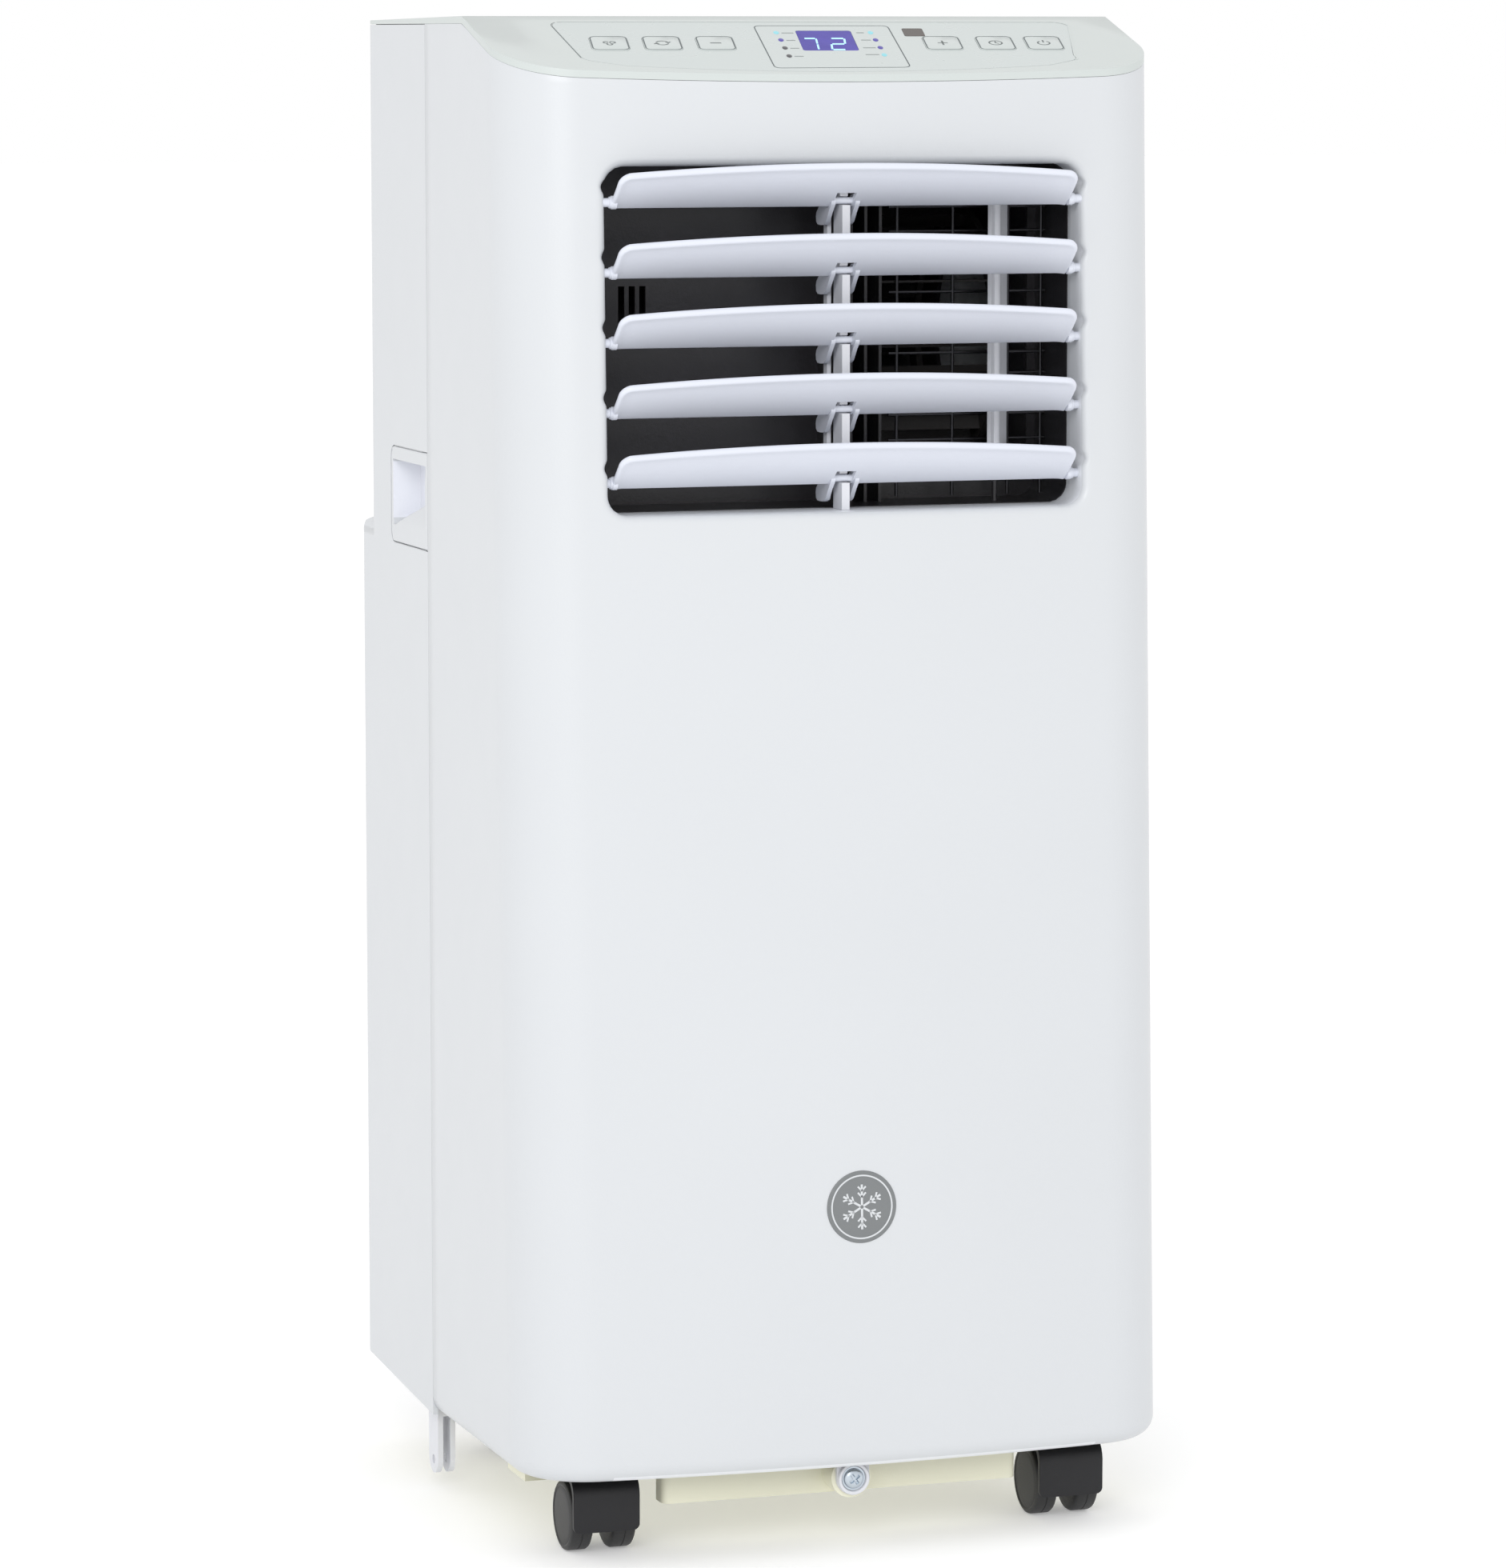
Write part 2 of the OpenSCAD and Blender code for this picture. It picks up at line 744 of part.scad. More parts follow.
// Horizontal slats in a frame
module slats(x0, x1, y0, y1, z0, z1, pitch) {
    difference() {
        box(x0, x1, y0, y1, z0, z1);
        box(x0 + 7, x1 - 7, y0 - 1, y1 + 1, z0 + 9, z1 - 7);
    }
    n = floor((z1 - z0 - 20) / pitch);
    for (k = [1:n]) box(x0 + 6, x1 - 6, y0, y1, z0 + 9 + k * pitch - 1.2, z0 + 9 + k * pitch + 1.2);
    for (k = [1:3]) {
        x = x0 + k * (x1 - x0) / 4;
        box(x - 1.5, x + 1.5, y0, y1, z0 + 6, z1 - 6);
    }
}

module filter_door() {
    color("whitesmoke") {
        slats(-114.4, 114.4, 127.6, back_y - 0.1, 479, 650.4, 9);
        rod_x(-119, -114, door_y, door_z, 4);
        rod_x(114, 119, door_y, door_z, 4);
        for (s = [-1, 1]) box(s * 113.4 - 1, s * 113.4 + 1, 125, 129, 480, 492);
    }
}

module air_filter() {
    color("darkslategray") {
        difference() {
            box(-108, 108, 124.4, 127.5, 494, 646);
            box(-104, 104, 120, 130, 498, 642);
        }
        box(-104.5, 104.5, 125.6, 126.4, 497.5, 642.5);
        for (x = [-52, 0, 52]) box(x - 1.5, x + 1.5, 124.8, 127.2, 497.5, 642.5);
    }
}

module lower_grille() {
    color("whitesmoke") slats(-118.6, 118.6, 139.5, 143.4, 78.4, 279.6, 9);
}

module exhaust_collar() {
    color("whitesmoke") difference() {
        union() {
            rod_y(0, 142.2, half_d - 0.4, exhaust_z, exhaust_d + 9);
            rod_y(0, 142.2, 145.4, exhaust_z, exhaust_d + 9.4);
        }
        rod_y(0, 140, 152, exhaust_z, exhaust_d);
    }
}

// Rubber plug: stem, lip and pull ring
module drain_plug(x, z, y) {
    color("dimgray") {
        rod_y(x, y - 14, y, z, 9.8);
        rod_y(x, y, y + 4, z, 20);
        box(x - 2, x + 2, y + 4, y + 7, z - 6, z + 6);
    }
}

module drain_plug_base() { drain_plug(drain_x, base_drain_z, plug_y); }
module drain_plug_upper() { drain_plug(drain_x, drain_z, plug_y); }

module cord_gland() {
    color("dimgray") difference() {
        union() {
            rod_y(gland_x, 134, 148, gland_z, 16);
            rod_y(gland_x, 144.8, 148, gland_z, 20);
        }
        rod_y(gland_x, 130, 150, gland_z, 8.4);
    }
}

// Outline of a grip plate, rounded at the back and run past the seam at the front
module grip_outline(grow) {
    round_rect(0, grip_z0 - grow, 86 + grow, grip_z1 + grow, 6 + grow);
}

// Grip cup set in the side, open outwards
module handle(s) {
    color("whitesmoke") mirror([s > 0 ? 1 : 0, 0, 0]) difference() {
        union() {
            along_x(-half_w, -half_w + 2.4) intersection() {
                grip_outline(0);
                translate([seam_y + 2 * e, grip_z0 - 1]) square([80, 50]);
            }
            box(-half_w + 1, -half_w + 26, seam_y + 1.6, 84, 453, 487);
        }
        box(-half_w - 1, -half_w + 24, seam_y + 3.6, 82, 455, 485);
    }
}

module handle_left() { handle(-1); }
module handle_right() { handle(1); }

// Twin-eared lug under the left edge, with a cross hole
module lug_bracket() {
    color("white") difference() {
        union() {
            box(-150.5, -142, 29, 46, 36, 40.8);
            for (x = [-150.5, -144.5]) {
                box(x, x + 2.5, 29.5, 45.5, 15, 38);
                rod_x(x, x + 2.5, 37.5, 15.5, 16);
            }
        }
        rod_x(-155, -138, 37.5, 14, 4.4);
    }
}

module shell_screws() {
    color("silver") {
        rod_y(0, -136, -133.7, screw_z, 9.4);
        rod_y(0, -134, -122, screw_z, 3);
    }
}

// ---------- casters ----------

module caster_sockets() {
    color("silver") for (c = caster_at) difference() {
        rod_z(c[0], c[1], 38, 60, 12);
        rod_z(c[0], c[1], 30, 70, 8 + fit);
    }
}

// Hood, web and stem of one caster, the swivel axis on the origin
module caster_fork(i) {
    r = wheel_d / 2;
    color("dimgray") translate([caster_at[i][0], caster_at[i][1], 0]) difference() {
        union() {
            along_x(-15.6, 15.6)
                polygon([[-14.6, hood_z], [-14.6, 28], [-12.2, 33.6], [-7, 37], [10, 37], [10, 34.6],
                         [-6.4, 34.6], [-10.4, 32], [-12.4, 27.5], [-12.4, hood_z]]);
            intersection() {
                rod_x(-4, 4, trail, r, wheel_d + 4);
                box(-20, 20, -13, 14, hood_z, 40);
            }
            rod_z(0, 0, 32.6, 37.4, 14);
            rod_z(0, 0, 30, 56, 8);
        }
        rod_x(-8, 8, trail, r, 4 + fit);
    }
}

// Two wheels on one axle
module caster_wheels(i) {
    r = wheel_d / 2;
    color("dimgray") translate([caster_at[i][0], caster_at[i][1] + trail, r]) {
        rod_x(-15.4, -4.8, 0, 0, wheel_d);
        rod_x(4.8, 15.4, 0, 0, wheel_d);
        rod_x(-14.6, 14.6, 0, 0, 4);
    }
}

module caster_fork_1() { caster_fork(0); }
module caster_fork_2() { caster_fork(1); }
module caster_fork_3() { caster_fork(2); }
module caster_fork_4() { caster_fork(3); }
module caster_wheels_1() { caster_wheels(0); }
module caster_wheels_2() { caster_wheels(1); }
module caster_wheels_3() { caster_wheels(2); }
module caster_wheels_4() { caster_wheels(3); }

front_shell();
rear_shell();
top_cover();
control_overlay();
display_window();
ir_window();
button_fan();
button_mode();
button_minus();
button_plus();
button_timer();
button_power();
key_board();
badge();
louver_1();
louver_2();
louver_3();
louver_4();
louver_5();
louver_post();
louver_link();
outlet_duct();
wire_guard();
guide_vane();
evaporator();
condenser();
upper_blower();
upper_motor();
upper_scroll();
lower_blower();
lower_motor();
lower_scroll();
compressor();
compressor_feet();
refrigerant_pipes();
divider_tray();
base_pan();
control_box();
run_capacitor();
filter_door();
air_filter();
lower_grille();
exhaust_collar();
drain_plug_upper();
drain_plug_base();
cord_gland();
handle_left();
handle_right();
lug_bracket();
shell_screws();
caster_sockets();
caster_fork_1();
caster_fork_2();
caster_fork_3();
caster_fork_4();
caster_wheels_1();
caster_wheels_2();
caster_wheels_3();
caster_wheels_4();
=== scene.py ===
"""Looks of the portable air conditioner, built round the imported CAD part. Metres, +Z up, front -Y."""
import json
import math

import bmesh
import bpy
from mathutils import Matrix, Vector


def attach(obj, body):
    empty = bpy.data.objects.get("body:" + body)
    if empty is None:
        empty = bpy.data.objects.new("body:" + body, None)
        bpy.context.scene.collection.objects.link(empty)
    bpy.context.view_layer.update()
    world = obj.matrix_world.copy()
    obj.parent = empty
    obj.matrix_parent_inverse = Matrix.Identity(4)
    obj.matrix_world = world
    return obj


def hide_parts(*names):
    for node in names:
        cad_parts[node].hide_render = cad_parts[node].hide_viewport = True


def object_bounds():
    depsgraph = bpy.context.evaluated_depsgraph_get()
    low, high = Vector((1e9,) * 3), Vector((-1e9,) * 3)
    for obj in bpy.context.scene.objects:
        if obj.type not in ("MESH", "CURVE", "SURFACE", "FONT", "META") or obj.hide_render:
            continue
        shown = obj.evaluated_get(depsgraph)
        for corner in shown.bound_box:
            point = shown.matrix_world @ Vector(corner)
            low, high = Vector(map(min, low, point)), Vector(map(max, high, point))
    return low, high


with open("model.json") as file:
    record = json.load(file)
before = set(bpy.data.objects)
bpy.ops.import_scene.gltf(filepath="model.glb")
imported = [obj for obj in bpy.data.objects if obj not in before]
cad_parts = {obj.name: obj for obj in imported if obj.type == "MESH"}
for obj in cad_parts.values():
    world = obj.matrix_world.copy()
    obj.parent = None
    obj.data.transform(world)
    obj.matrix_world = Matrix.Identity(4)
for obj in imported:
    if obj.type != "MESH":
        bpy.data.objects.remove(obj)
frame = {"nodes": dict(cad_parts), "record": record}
NODES = frame["nodes"]
CAD_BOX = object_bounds()
MM = 0.001

# ---------- materials ----------


def material(name, base, rough=0.4, metallic=0.0, vary=0.02, vary_scale=9.0, rough_vary=0.05,
             grain=0.02, grain_scale=900.0, grain_depth=0.00003, coat=0.0, emit=0.0, gloss=0.5):
    """Moulded or painted surface: slow colour drift, uneven gloss and a fine moulded grain."""
    m = bpy.data.materials.new(name)
    m.use_nodes = True
    nt = m.node_tree
    n = nt.nodes
    link = nt.links.new
    b = n["Principled BSDF"]
    b.inputs["Metallic"].default_value = metallic
    b.inputs["Coat Weight"].default_value = coat
    b.inputs["Coat Roughness"].default_value = 0.12
    b.inputs["Specular IOR Level"].default_value = gloss
    co = n.new("ShaderNodeTexCoord")
    slow = n.new("ShaderNodeTexNoise")
    slow.inputs["Scale"].default_value = vary_scale
    slow.inputs["Detail"].default_value = 4
    ramp = n.new("ShaderNodeValToRGB")
    lo = [max(0.0, c * (1 - vary)) for c in base]
    hi = [min(1.0, c * (1 + vary)) for c in base]
    ramp.color_ramp.elements[0].position = 0.3
    ramp.color_ramp.elements[1].position = 0.7
    ramp.color_ramp.elements[0].color = (*lo, 1)
    ramp.color_ramp.elements[1].color = (*hi, 1)
    link(co.outputs["Object"], slow.inputs["Vector"])
    link(slow.outputs["Fac"], ramp.inputs["Fac"])
    link(ramp.outputs["Color"], b.inputs["Base Color"])
    if emit:
        link(ramp.outputs["Color"], b.inputs["Emission Color"])
        b.inputs["Emission Strength"].default_value = emit
    mid = n.new("ShaderNodeTexNoise")
    mid.inputs["Scale"].default_value = vary_scale * 5
    mid.inputs["Detail"].default_value = 3
    span = n.new("ShaderNodeMapRange")
    span.inputs["To Min"].default_value = max(0.02, rough - rough_vary)
    span.inputs["To Max"].default_value = min(1.0, rough + rough_vary)
    link(co.outputs["Object"], mid.inputs["Vector"])
    link(mid.outputs["Fac"], span.inputs["Value"])
    link(span.outputs["Result"], b.inputs["Roughness"])
    fine = n.new("ShaderNodeTexNoise")
    fine.inputs["Scale"].default_value = grain_scale
    fine.inputs["Detail"].default_value = 2
    bump = n.new("ShaderNodeBump")
    bump.inputs["Strength"].default_value = grain
    bump.inputs["Distance"].default_value = grain_depth * 30
    link(co.outputs["Object"], fine.inputs["Vector"])
    link(fine.outputs["Fac"], bump.inputs["Height"])
    link(bump.outputs["Normal"], b.inputs["Normal"])
    return m


def metal(name, base, rough, axis="Z", streak=0.12):
    """Drawn or brushed metal with fine streaks along one axis."""
    m = material(name, base, rough, metallic=1.0, vary=0.06, rough_vary=0.08)
    nt = m.node_tree
    n = nt.nodes
    co = n.new("ShaderNodeTexCoord")
    mp = n.new("ShaderNodeMapping")
    stretch = {"X": (12, 1500, 1500), "Y": (1500, 12, 1500), "Z": (1500, 1500, 12)}[axis]
    mp.inputs["Scale"].default_value = stretch
    nz = n.new("ShaderNodeTexNoise")
    nz.inputs["Scale"].default_value = 1.0
    bump = n.new("ShaderNodeBump")
    bump.inputs["Strength"].default_value = streak
    bump.inputs["Distance"].default_value = 0.0004
    nt.links.new(co.outputs["Object"], mp.inputs["Vector"])
    nt.links.new(mp.outputs["Vector"], nz.inputs["Vector"])
    nt.links.new(nz.outputs["Fac"], bump.inputs["Height"])
    nt.links.new(bump.outputs["Normal"], n["Principled BSDF"].inputs["Normal"])
    return m


def finned(name, base, rough, pitch):
    """Stack of thin upright metal fins drawn as stripes: fin edges in the metal's colour, painted shade in the
    gaps between them.
    """
    m = metal(name, base, rough, "Z", 0.3)
    nt = m.node_tree
    n = nt.nodes
    co = n.new("ShaderNodeTexCoord")
    wave = n.new("ShaderNodeTexWave")
    wave.bands_direction = "X"
    wave.inputs["Scale"].default_value = math.pi / 10 / pitch
    ramp = n.new("ShaderNodeValToRGB")
    ramp.color_ramp.elements[0].position = 0.25
    ramp.color_ramp.elements[1].position = 0.6
    # the dark end of the ramp is painted shade in the gaps between the fins
    ramp.color_ramp.elements[0].color = (*[0.12 * c for c in base], 1)
    ramp.color_ramp.elements[1].color = (*base, 1)
    nt.links.new(co.outputs["Object"], wave.inputs["Vector"])
    nt.links.new(wave.outputs["Fac"], ramp.inputs["Fac"])
    nt.links.new(ramp.outputs["Color"], n["Principled BSDF"].inputs["Base Color"])
    return m


WHITE = material("body_white", (0.600, 0.618, 0.640), 0.34, vary=0.006, grain=0.04, coat=0.05)
COVER = material("cover_white", (0.548, 0.588, 0.576), 0.32, vary=0.0, grain=0.0, coat=0.05)
PANEL = material("panel_overlay", (0.535, 0.580, 0.572), 0.28, vary=0.0, grain=0.0, coat=0.05)
KEY = material("key_cap", (0.545, 0.590, 0.580), 0.3, vary=0.0, grain=0.0, coat=0.05)
LOUVER = material("louver_white", (0.66, 0.685, 0.76), 0.36, vary=0.01, grain=0.04, coat=0.05)
PIVOT = material("pivot_white", (0.68, 0.69, 0.73), 0.4, vary=0.02, grain=0.05)
# lighter copy of the body white for the outlet's return wall: painted light, standing in for the light that the
# dark duct keeps from it
RETURN_PAINTED_LIGHT = material("return_wall_painted_light", (0.78, 0.80, 0.83), 0.36, vary=0.004, grain=0.03)
# lighter, bluer copy of the body white for the inside of the grip pocket: painted light against the pocket's shade
GRIP_PAINTED_LIGHT = material("grip_pocket_painted_light", (0.76, 0.775, 0.83), 0.36, vary=0.01, grain=0.04)
SHADE = material("groove_grey", (0.50, 0.51, 0.52), 0.7, vary=0.05)
DUCT = material("duct_black", (0.022, 0.021, 0.024), 0.3, vary=0.12, grain=0.1)
DARK = material("inner_black", (0.022, 0.020, 0.020), 0.55, vary=0.15, grain=0.1)
WIRE = metal("steel_wire", (0.06, 0.06, 0.065), 0.4, "X")
STEEL = metal("zinc_steel", (0.56, 0.62, 0.68), 0.34, "Z")
FIN = finned("fin_aluminium", (0.66, 0.68, 0.70), 0.4, 0.0024)
COPPER = metal("copper_tube", (0.75, 0.42, 0.28), 0.32, "X")
CREAM = material("pan_cream", (0.80, 0.79, 0.63), 0.45, vary=0.02, grain=0.06)
CASTER = material("caster_grey", (0.013, 0.013, 0.015), 0.46, vary=0.1, grain=0.08, grain_scale=1600,
                  gloss=0.35)
TYRE = material("wheel_grey", (0.020, 0.020, 0.021), 0.5, vary=0.12, grain=0.12, grain_scale=1600)
RUBBER = material("rubber_black", (0.03, 0.03, 0.03), 0.7, vary=0.1, grain=0.15)
MOTOR = material("motor_paint", (0.03, 0.032, 0.035), 0.35, vary=0.1, grain=0.1, coat=0.2)
BOARD = material("board_green", (0.03, 0.20, 0.09), 0.3, vary=0.12, coat=0.4)
# grey of the printed lines, also used as painted shadow along the overlay's left edge
INK_AND_SHADOW_GREY = material("print_and_painted_shadow_grey", (0.12, 0.14, 0.145), 0.5, vary=0.05, gloss=0.2)
PALE_INK = material("print_pale", (0.15, 0.17, 0.17), 0.5, vary=0.05, gloss=0.2)
FAINT_INK = material("print_faint", (0.25, 0.275, 0.275), 0.5, vary=0.05, gloss=0.2)
BADGE = material("badge_grey", (0.175, 0.185, 0.19), 0.4, vary=0.05)
BADGE_EDGE = material("badge_print", (0.60, 0.62, 0.64), 0.35, vary=0.03)
LCD = material("lcd_violet", (0.066, 0.048, 0.36), 0.3, vary=0.10, vary_scale=60, gloss=0.08)
DIGIT = material("digit_cyan", (0.42, 0.80, 0.95), 0.3, vary=0.05, emit=0.25)
DOT_BLUE = material("dot_violet", (0.07, 0.05, 0.36), 0.3, vary=0.1, gloss=0.2)
DOT_CYAN = material("dot_cyan", (0.27, 0.66, 0.74), 0.3, vary=0.1, gloss=0.2)
DOT_OFF = material("dot_off", (0.06, 0.06, 0.065), 0.3, vary=0.1, gloss=0.2)
SMOKE = material("ir_smoke", (0.075, 0.062, 0.055), 0.25, vary=0.1, gloss=0.15)
MESH = material("filter_mesh", (0.05, 0.05, 0.055), 0.7, vary=0.2, grain=0.3)
FLOOR = material("studio_floor", (0.78, 0.78, 0.78), 0.9, vary=0.004, vary_scale=2.0, grain=0.01,
                 emit=0.36, gloss=0.0)

# ---------- mesh helpers ----------


def new_object(name, bm, mat, body, smooth=40.0):
    """A mesh object from a bmesh, smooth shaded with sharp edges above an angle."""
    bmesh.ops.recalc_face_normals(bm, faces=bm.faces)
    me = bpy.data.meshes.new(name)
    bm.to_mesh(me)
    bm.free()
    ob = bpy.data.objects.new(name, me)
    bpy.context.scene.collection.objects.link(ob)
    me.materials.append(mat)
    if smooth:
        me.polygons.foreach_set("use_smooth", [True] * len(me.polygons))
        me.set_sharp_from_angle(angle=math.radians(smooth))
    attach(ob, body)
    return ob


def cad_mesh(node):
    """The CAD node's surface as a clean bmesh of large faces."""
    me = NODES[node].data
    bm = bmesh.new()
    verts = [bm.verts.new(v.co) for v in me.vertices]
    for p in me.polygons:
        try:
            bm.faces.new([verts[i] for i in p.vertices])
        except ValueError:
            pass
    bmesh.ops.remove_doubles(bm, verts=bm.verts, dist=2e-6)
    bmesh.ops.dissolve_degenerate(bm, edges=bm.edges, dist=1e-6)
    bmesh.ops.dissolve_limit(bm, angle_limit=math.radians(0.3), verts=bm.verts, edges=bm.edges)
    return bm


def soft_copy(node, name, mat, body, width=0.0006, segments=3, angle=32.0, slot=None, smooth=40.0):
    """The CAD shape again, with every hard edge rounded; it stands for the node."""
    bm = cad_mesh(node)
    ob = new_object(name, bm, mat, body, smooth)
    bev = ob.modifiers.new("round", "BEVEL")
    bev.width = width
    bev.segments = segments
    bev.limit_method = "ANGLE"
    bev.angle_limit = math.radians(angle)
    bev.use_clamp_overlap = True
    bev.harden_normals = False
    wn = ob.modifiers.new("even", "WEIGHTED_NORMAL")
    wn.keep_sharp = False
    wn.weight = 60
    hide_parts(node)


def paint(mat, *nodes):
    """A CAD node that stays takes a better material."""
    for node in nodes:
        o = NODES[node]
        for s in o.material_slots:
            s.material = mat


# ---------- shared sizes of the CAD part, in millimetres ----------

LEAN = math.radians(2.17)
FOOT_Y, SHELL_Z, SEAM_Y, RIDGE_Y, COVER_Z = -142.6, 39.0, 21.4, -41.0, 688.6
HALF_W, FRONT_R, BOW = 155.0, 36.0, 6.4
OUT_X, OUT_Z0, OUT_Z1, OUT_R, SLEEVE_Y = 112.25, 472.0, 626.0, 9.0, -104.6
PIN_Y = -118.0
LOUVER_Z = [610.2 - 31.0 * i for i in range(5)]
CHORD, BLADE_X, BLADE_R, BLADE_SAG = 25.8, 108.0, 6.5, 5.8
TILT = math.radians(40)
SLOPE = math.radians(17)
BOW_R = ((HALF_W - FRONT_R) ** 2 + BOW**2) / (2 * BOW)
BOW_CY = -BOW + BOW_R
CORNER_CY = BOW_CY - math.sqrt((BOW_R - FRONT_R) ** 2 - (HALF_W - FRONT_R) ** 2)
TANGENT_X = (HALF_W - FRONT_R) * BOW_R / (BOW_R - FRONT_R)


def mm(x, y, z):
    return Vector((x * MM, y * MM, z * MM))


def front_y(z):
    return FOOT_Y + (z - SHELL_Z) * math.tan(LEAN)


def bow_y(x):
    return BOW_CY - math.sqrt(BOW_R**2 - x * x)


def face_y(x, z):
    """Depth of the front face between its two tangent lines."""
    return front_y(z) + bow_y(x) / math.cos(LEAN)


def slope_point(u, v, h=0.0):
    """Point of the control panel: u across, v down the slope, h above it."""
    c, s = math.cos(SLOPE), math.sin(SLOPE)
    return mm(u, RIDGE_Y - v * c - h * s, 692.0 - v * s + h * c)


# ---------- mesh builders ----------


class Net:
    """Vertices by key and quads between them."""

    def __init__(self):
        self.bm = bmesh.new()
        self.at = {}

    def put(self, key, co):
        if key not in self.at:
            self.at[key] = self.bm.verts.new(co)
        return self.at[key]

    def face(self, *keys):
        vs = []
        for k in keys:
            v = self.at[k]
            if v not in vs:
                vs.append(v)
        if len(vs) > 2:
            try:
                self.bm.faces.new(vs)
            except ValueError:
                pass


def loft(rings, close_ring=True, caps=True):
    """A bmesh through rings of equal length; each ring is a list of points."""
    bm = bmesh.new()
    rows = [[bm.verts.new(p) for p in ring] for ring in rings]
    n = len(rows[0])
    for a, b in zip(rows, rows[1:]):
        for k in range(n if close_ring else n - 1):
            j = (k + 1) % n
            bm.faces.new((a[k], a[j], b[j], b[k]))
    if caps and close_ring:
        bm.faces.new(list(reversed(rows[0])))
        bm.faces.new(rows[-1])
    return bm


def merge(*bms):
    """Several bmeshes as one."""
    out = bmesh.new()
    for b in bms:
        me = bpy.data.meshes.new("tmp")
        b.to_mesh(me)
        b.free()
        out.from_mesh(me)
        bpy.data.meshes.remove(me)
    return out


def lathe(profile, place, axis, n=48):
    """Turned solid: profile is (along, radius) in mm, from place along axis."""
    a = Vector(axis).normalized()
    side = a.orthogonal().normalized()
    other = a.cross(side)
    rings = []
    for along, r in profile:
        r = max(r, 0.001)
        c = Vector(place) + a * along
        rings.append([(c + (side * math.cos(t) + other * math.sin(t)) * r) * MM
                      for t in (2 * math.pi * k / n for k in range(n))])
    return loft(rings)


def lathe_ring(profile, place, axis, n=64):
    """Turned ring: the closed profile is (along, radius) in mm."""
    a = Vector(axis).normalized()
    side = a.orthogonal().normalized()
    other = a.cross(side)
    rings = []
    for k in range(n):
        t = 2 * math.pi * k / n
        out = side * math.cos(t) + other * math.sin(t)
        rings.append([(Vector(place) + a * along + out * r) * MM for along, r in profile])
    return loft(rings + [rings[0]], caps=False)


def rounded_profile(length, r, edge, steps=3):
    """Profile of a cylinder with rounded rims."""
    lo = [(edge - edge * math.cos(a), r - edge + edge * math.sin(a))
          for a in (math.pi / 2 * k / steps for k in range(steps + 1))]
    hi = [(length - p[0], p[1]) for p in reversed(lo)]
    return lo + hi


def outline_prism(outer, holes, low, high, point):
    """Flat plate with holes: loops are (u, v) lists, point(u, v, h) places them."""
    bm = bmesh.new()
    loops = []
    edges = []
    for loop in [outer, *holes]:
        vs = [bm.verts.new(point(u, v, high)) for u, v in loop]
        edges += [bm.edges.new((vs[k], vs[(k + 1) % len(vs)])) for k in range(len(vs))]
        loops.append((loop, vs))
    bmesh.ops.triangle_fill(bm, use_beauty=True, edges=edges)
    top = list(bm.faces)
    copy = bmesh.ops.duplicate(bm, geom=top + [v for _, vs in loops for v in vs] + edges)
    twin = copy["vert_map"]
    for loop, vs in loops:
        for (u, v), a in zip(loop, vs):
            b = twin[a]
            b.co = point(u, v, low)
        for k in range(len(vs)):
            a, b = vs[k], vs[(k + 1) % len(vs)]
            bm.faces.new((a, b, twin[b], twin[a]))
    bmesh.ops.dissolve_limit(bm, angle_limit=0.002, verts=bm.verts, edges=bm.edges)
    return bm


def stroke(points, width, low, high, point, closed=False):
    """A printed line of constant width along (u, v) points."""
    n = len(points)
    left, right = [], []
    for k, p in enumerate(points):
        a = points[k - 1] if (k or closed) else p
        b = points[(k + 1) % n] if (k < n - 1 or closed) else p
        d1 = Vector((p[0] - a[0], p[1] - a[1]))
        d2 = Vector((b[0] - p[0], b[1] - p[1]))
        if d1.length < 1e-9:
            d1 = d2
        if d2.length < 1e-9:
            d2 = d1
        d1.normalize()
        d2.normalize()
        m = d1 + d2
        m = m.normalized() if m.length > 1e-6 else d1
        nrm = Vector((-m.y, m.x))
        w = width / 2 / max(0.5, nrm.dot(Vector((-d1.y, d1.x))))
        left.append((p[0] + nrm.x * w, p[1] + nrm.y * w))
        right.append((p[0] - nrm.x * w, p[1] - nrm.y * w))
    bm = bmesh.new()
    rows = [[bm.verts.new(point(u, v, h)) for u, v in side]
            for side, h in ((left, low), (left, high), (right, high), (right, low))]
    last = n if closed else n - 1
    for k in range(last):
        j = (k + 1) % n
        for r in range(4):
            a, b = rows[r], rows[(r + 1) % 4]
            bm.faces.new((a[k], a[j], b[j], b[k]))
    if not closed:
        bm.faces.new([rows[r][0] for r in range(4)])
        bm.faces.new([rows[r][-1] for r in range(3, -1, -1)])
    return bm


def arc(cx, cy, r, a0, a1, n=8):
    return [(cx + r * math.cos(math.radians(a0 + (a1 - a0) * k / n)),
             cy + r * math.sin(math.radians(a0 + (a1 - a0) * k / n))) for k in range(n + 1)]


def rounded(w, h, r, n=6):
    """Rounded rectangle centred on the origin, counter-clockwise."""
    return (arc(w / 2 - r, h / 2 - r, r, 0, 90, n) + arc(-w / 2 + r, h / 2 - r, r, 90, 180, n)
            + arc(-w / 2 + r, -h / 2 + r, r, 180, 270, n) + arc(w / 2 - r, -h / 2 + r, r, 270, 360, n))


def add_bevel(ob, width, segments=3, angle=40.0, even=True):
    bev = ob.modifiers.new("round", "BEVEL")
    bev.width = width * MM
    bev.segments = segments
    bev.limit_method = "ANGLE"
    bev.angle_limit = math.radians(angle)
    if even:
        wn = ob.modifiers.new("even", "WEIGHTED_NORMAL")
        wn.keep_sharp = True


# ---------- front shell ----------


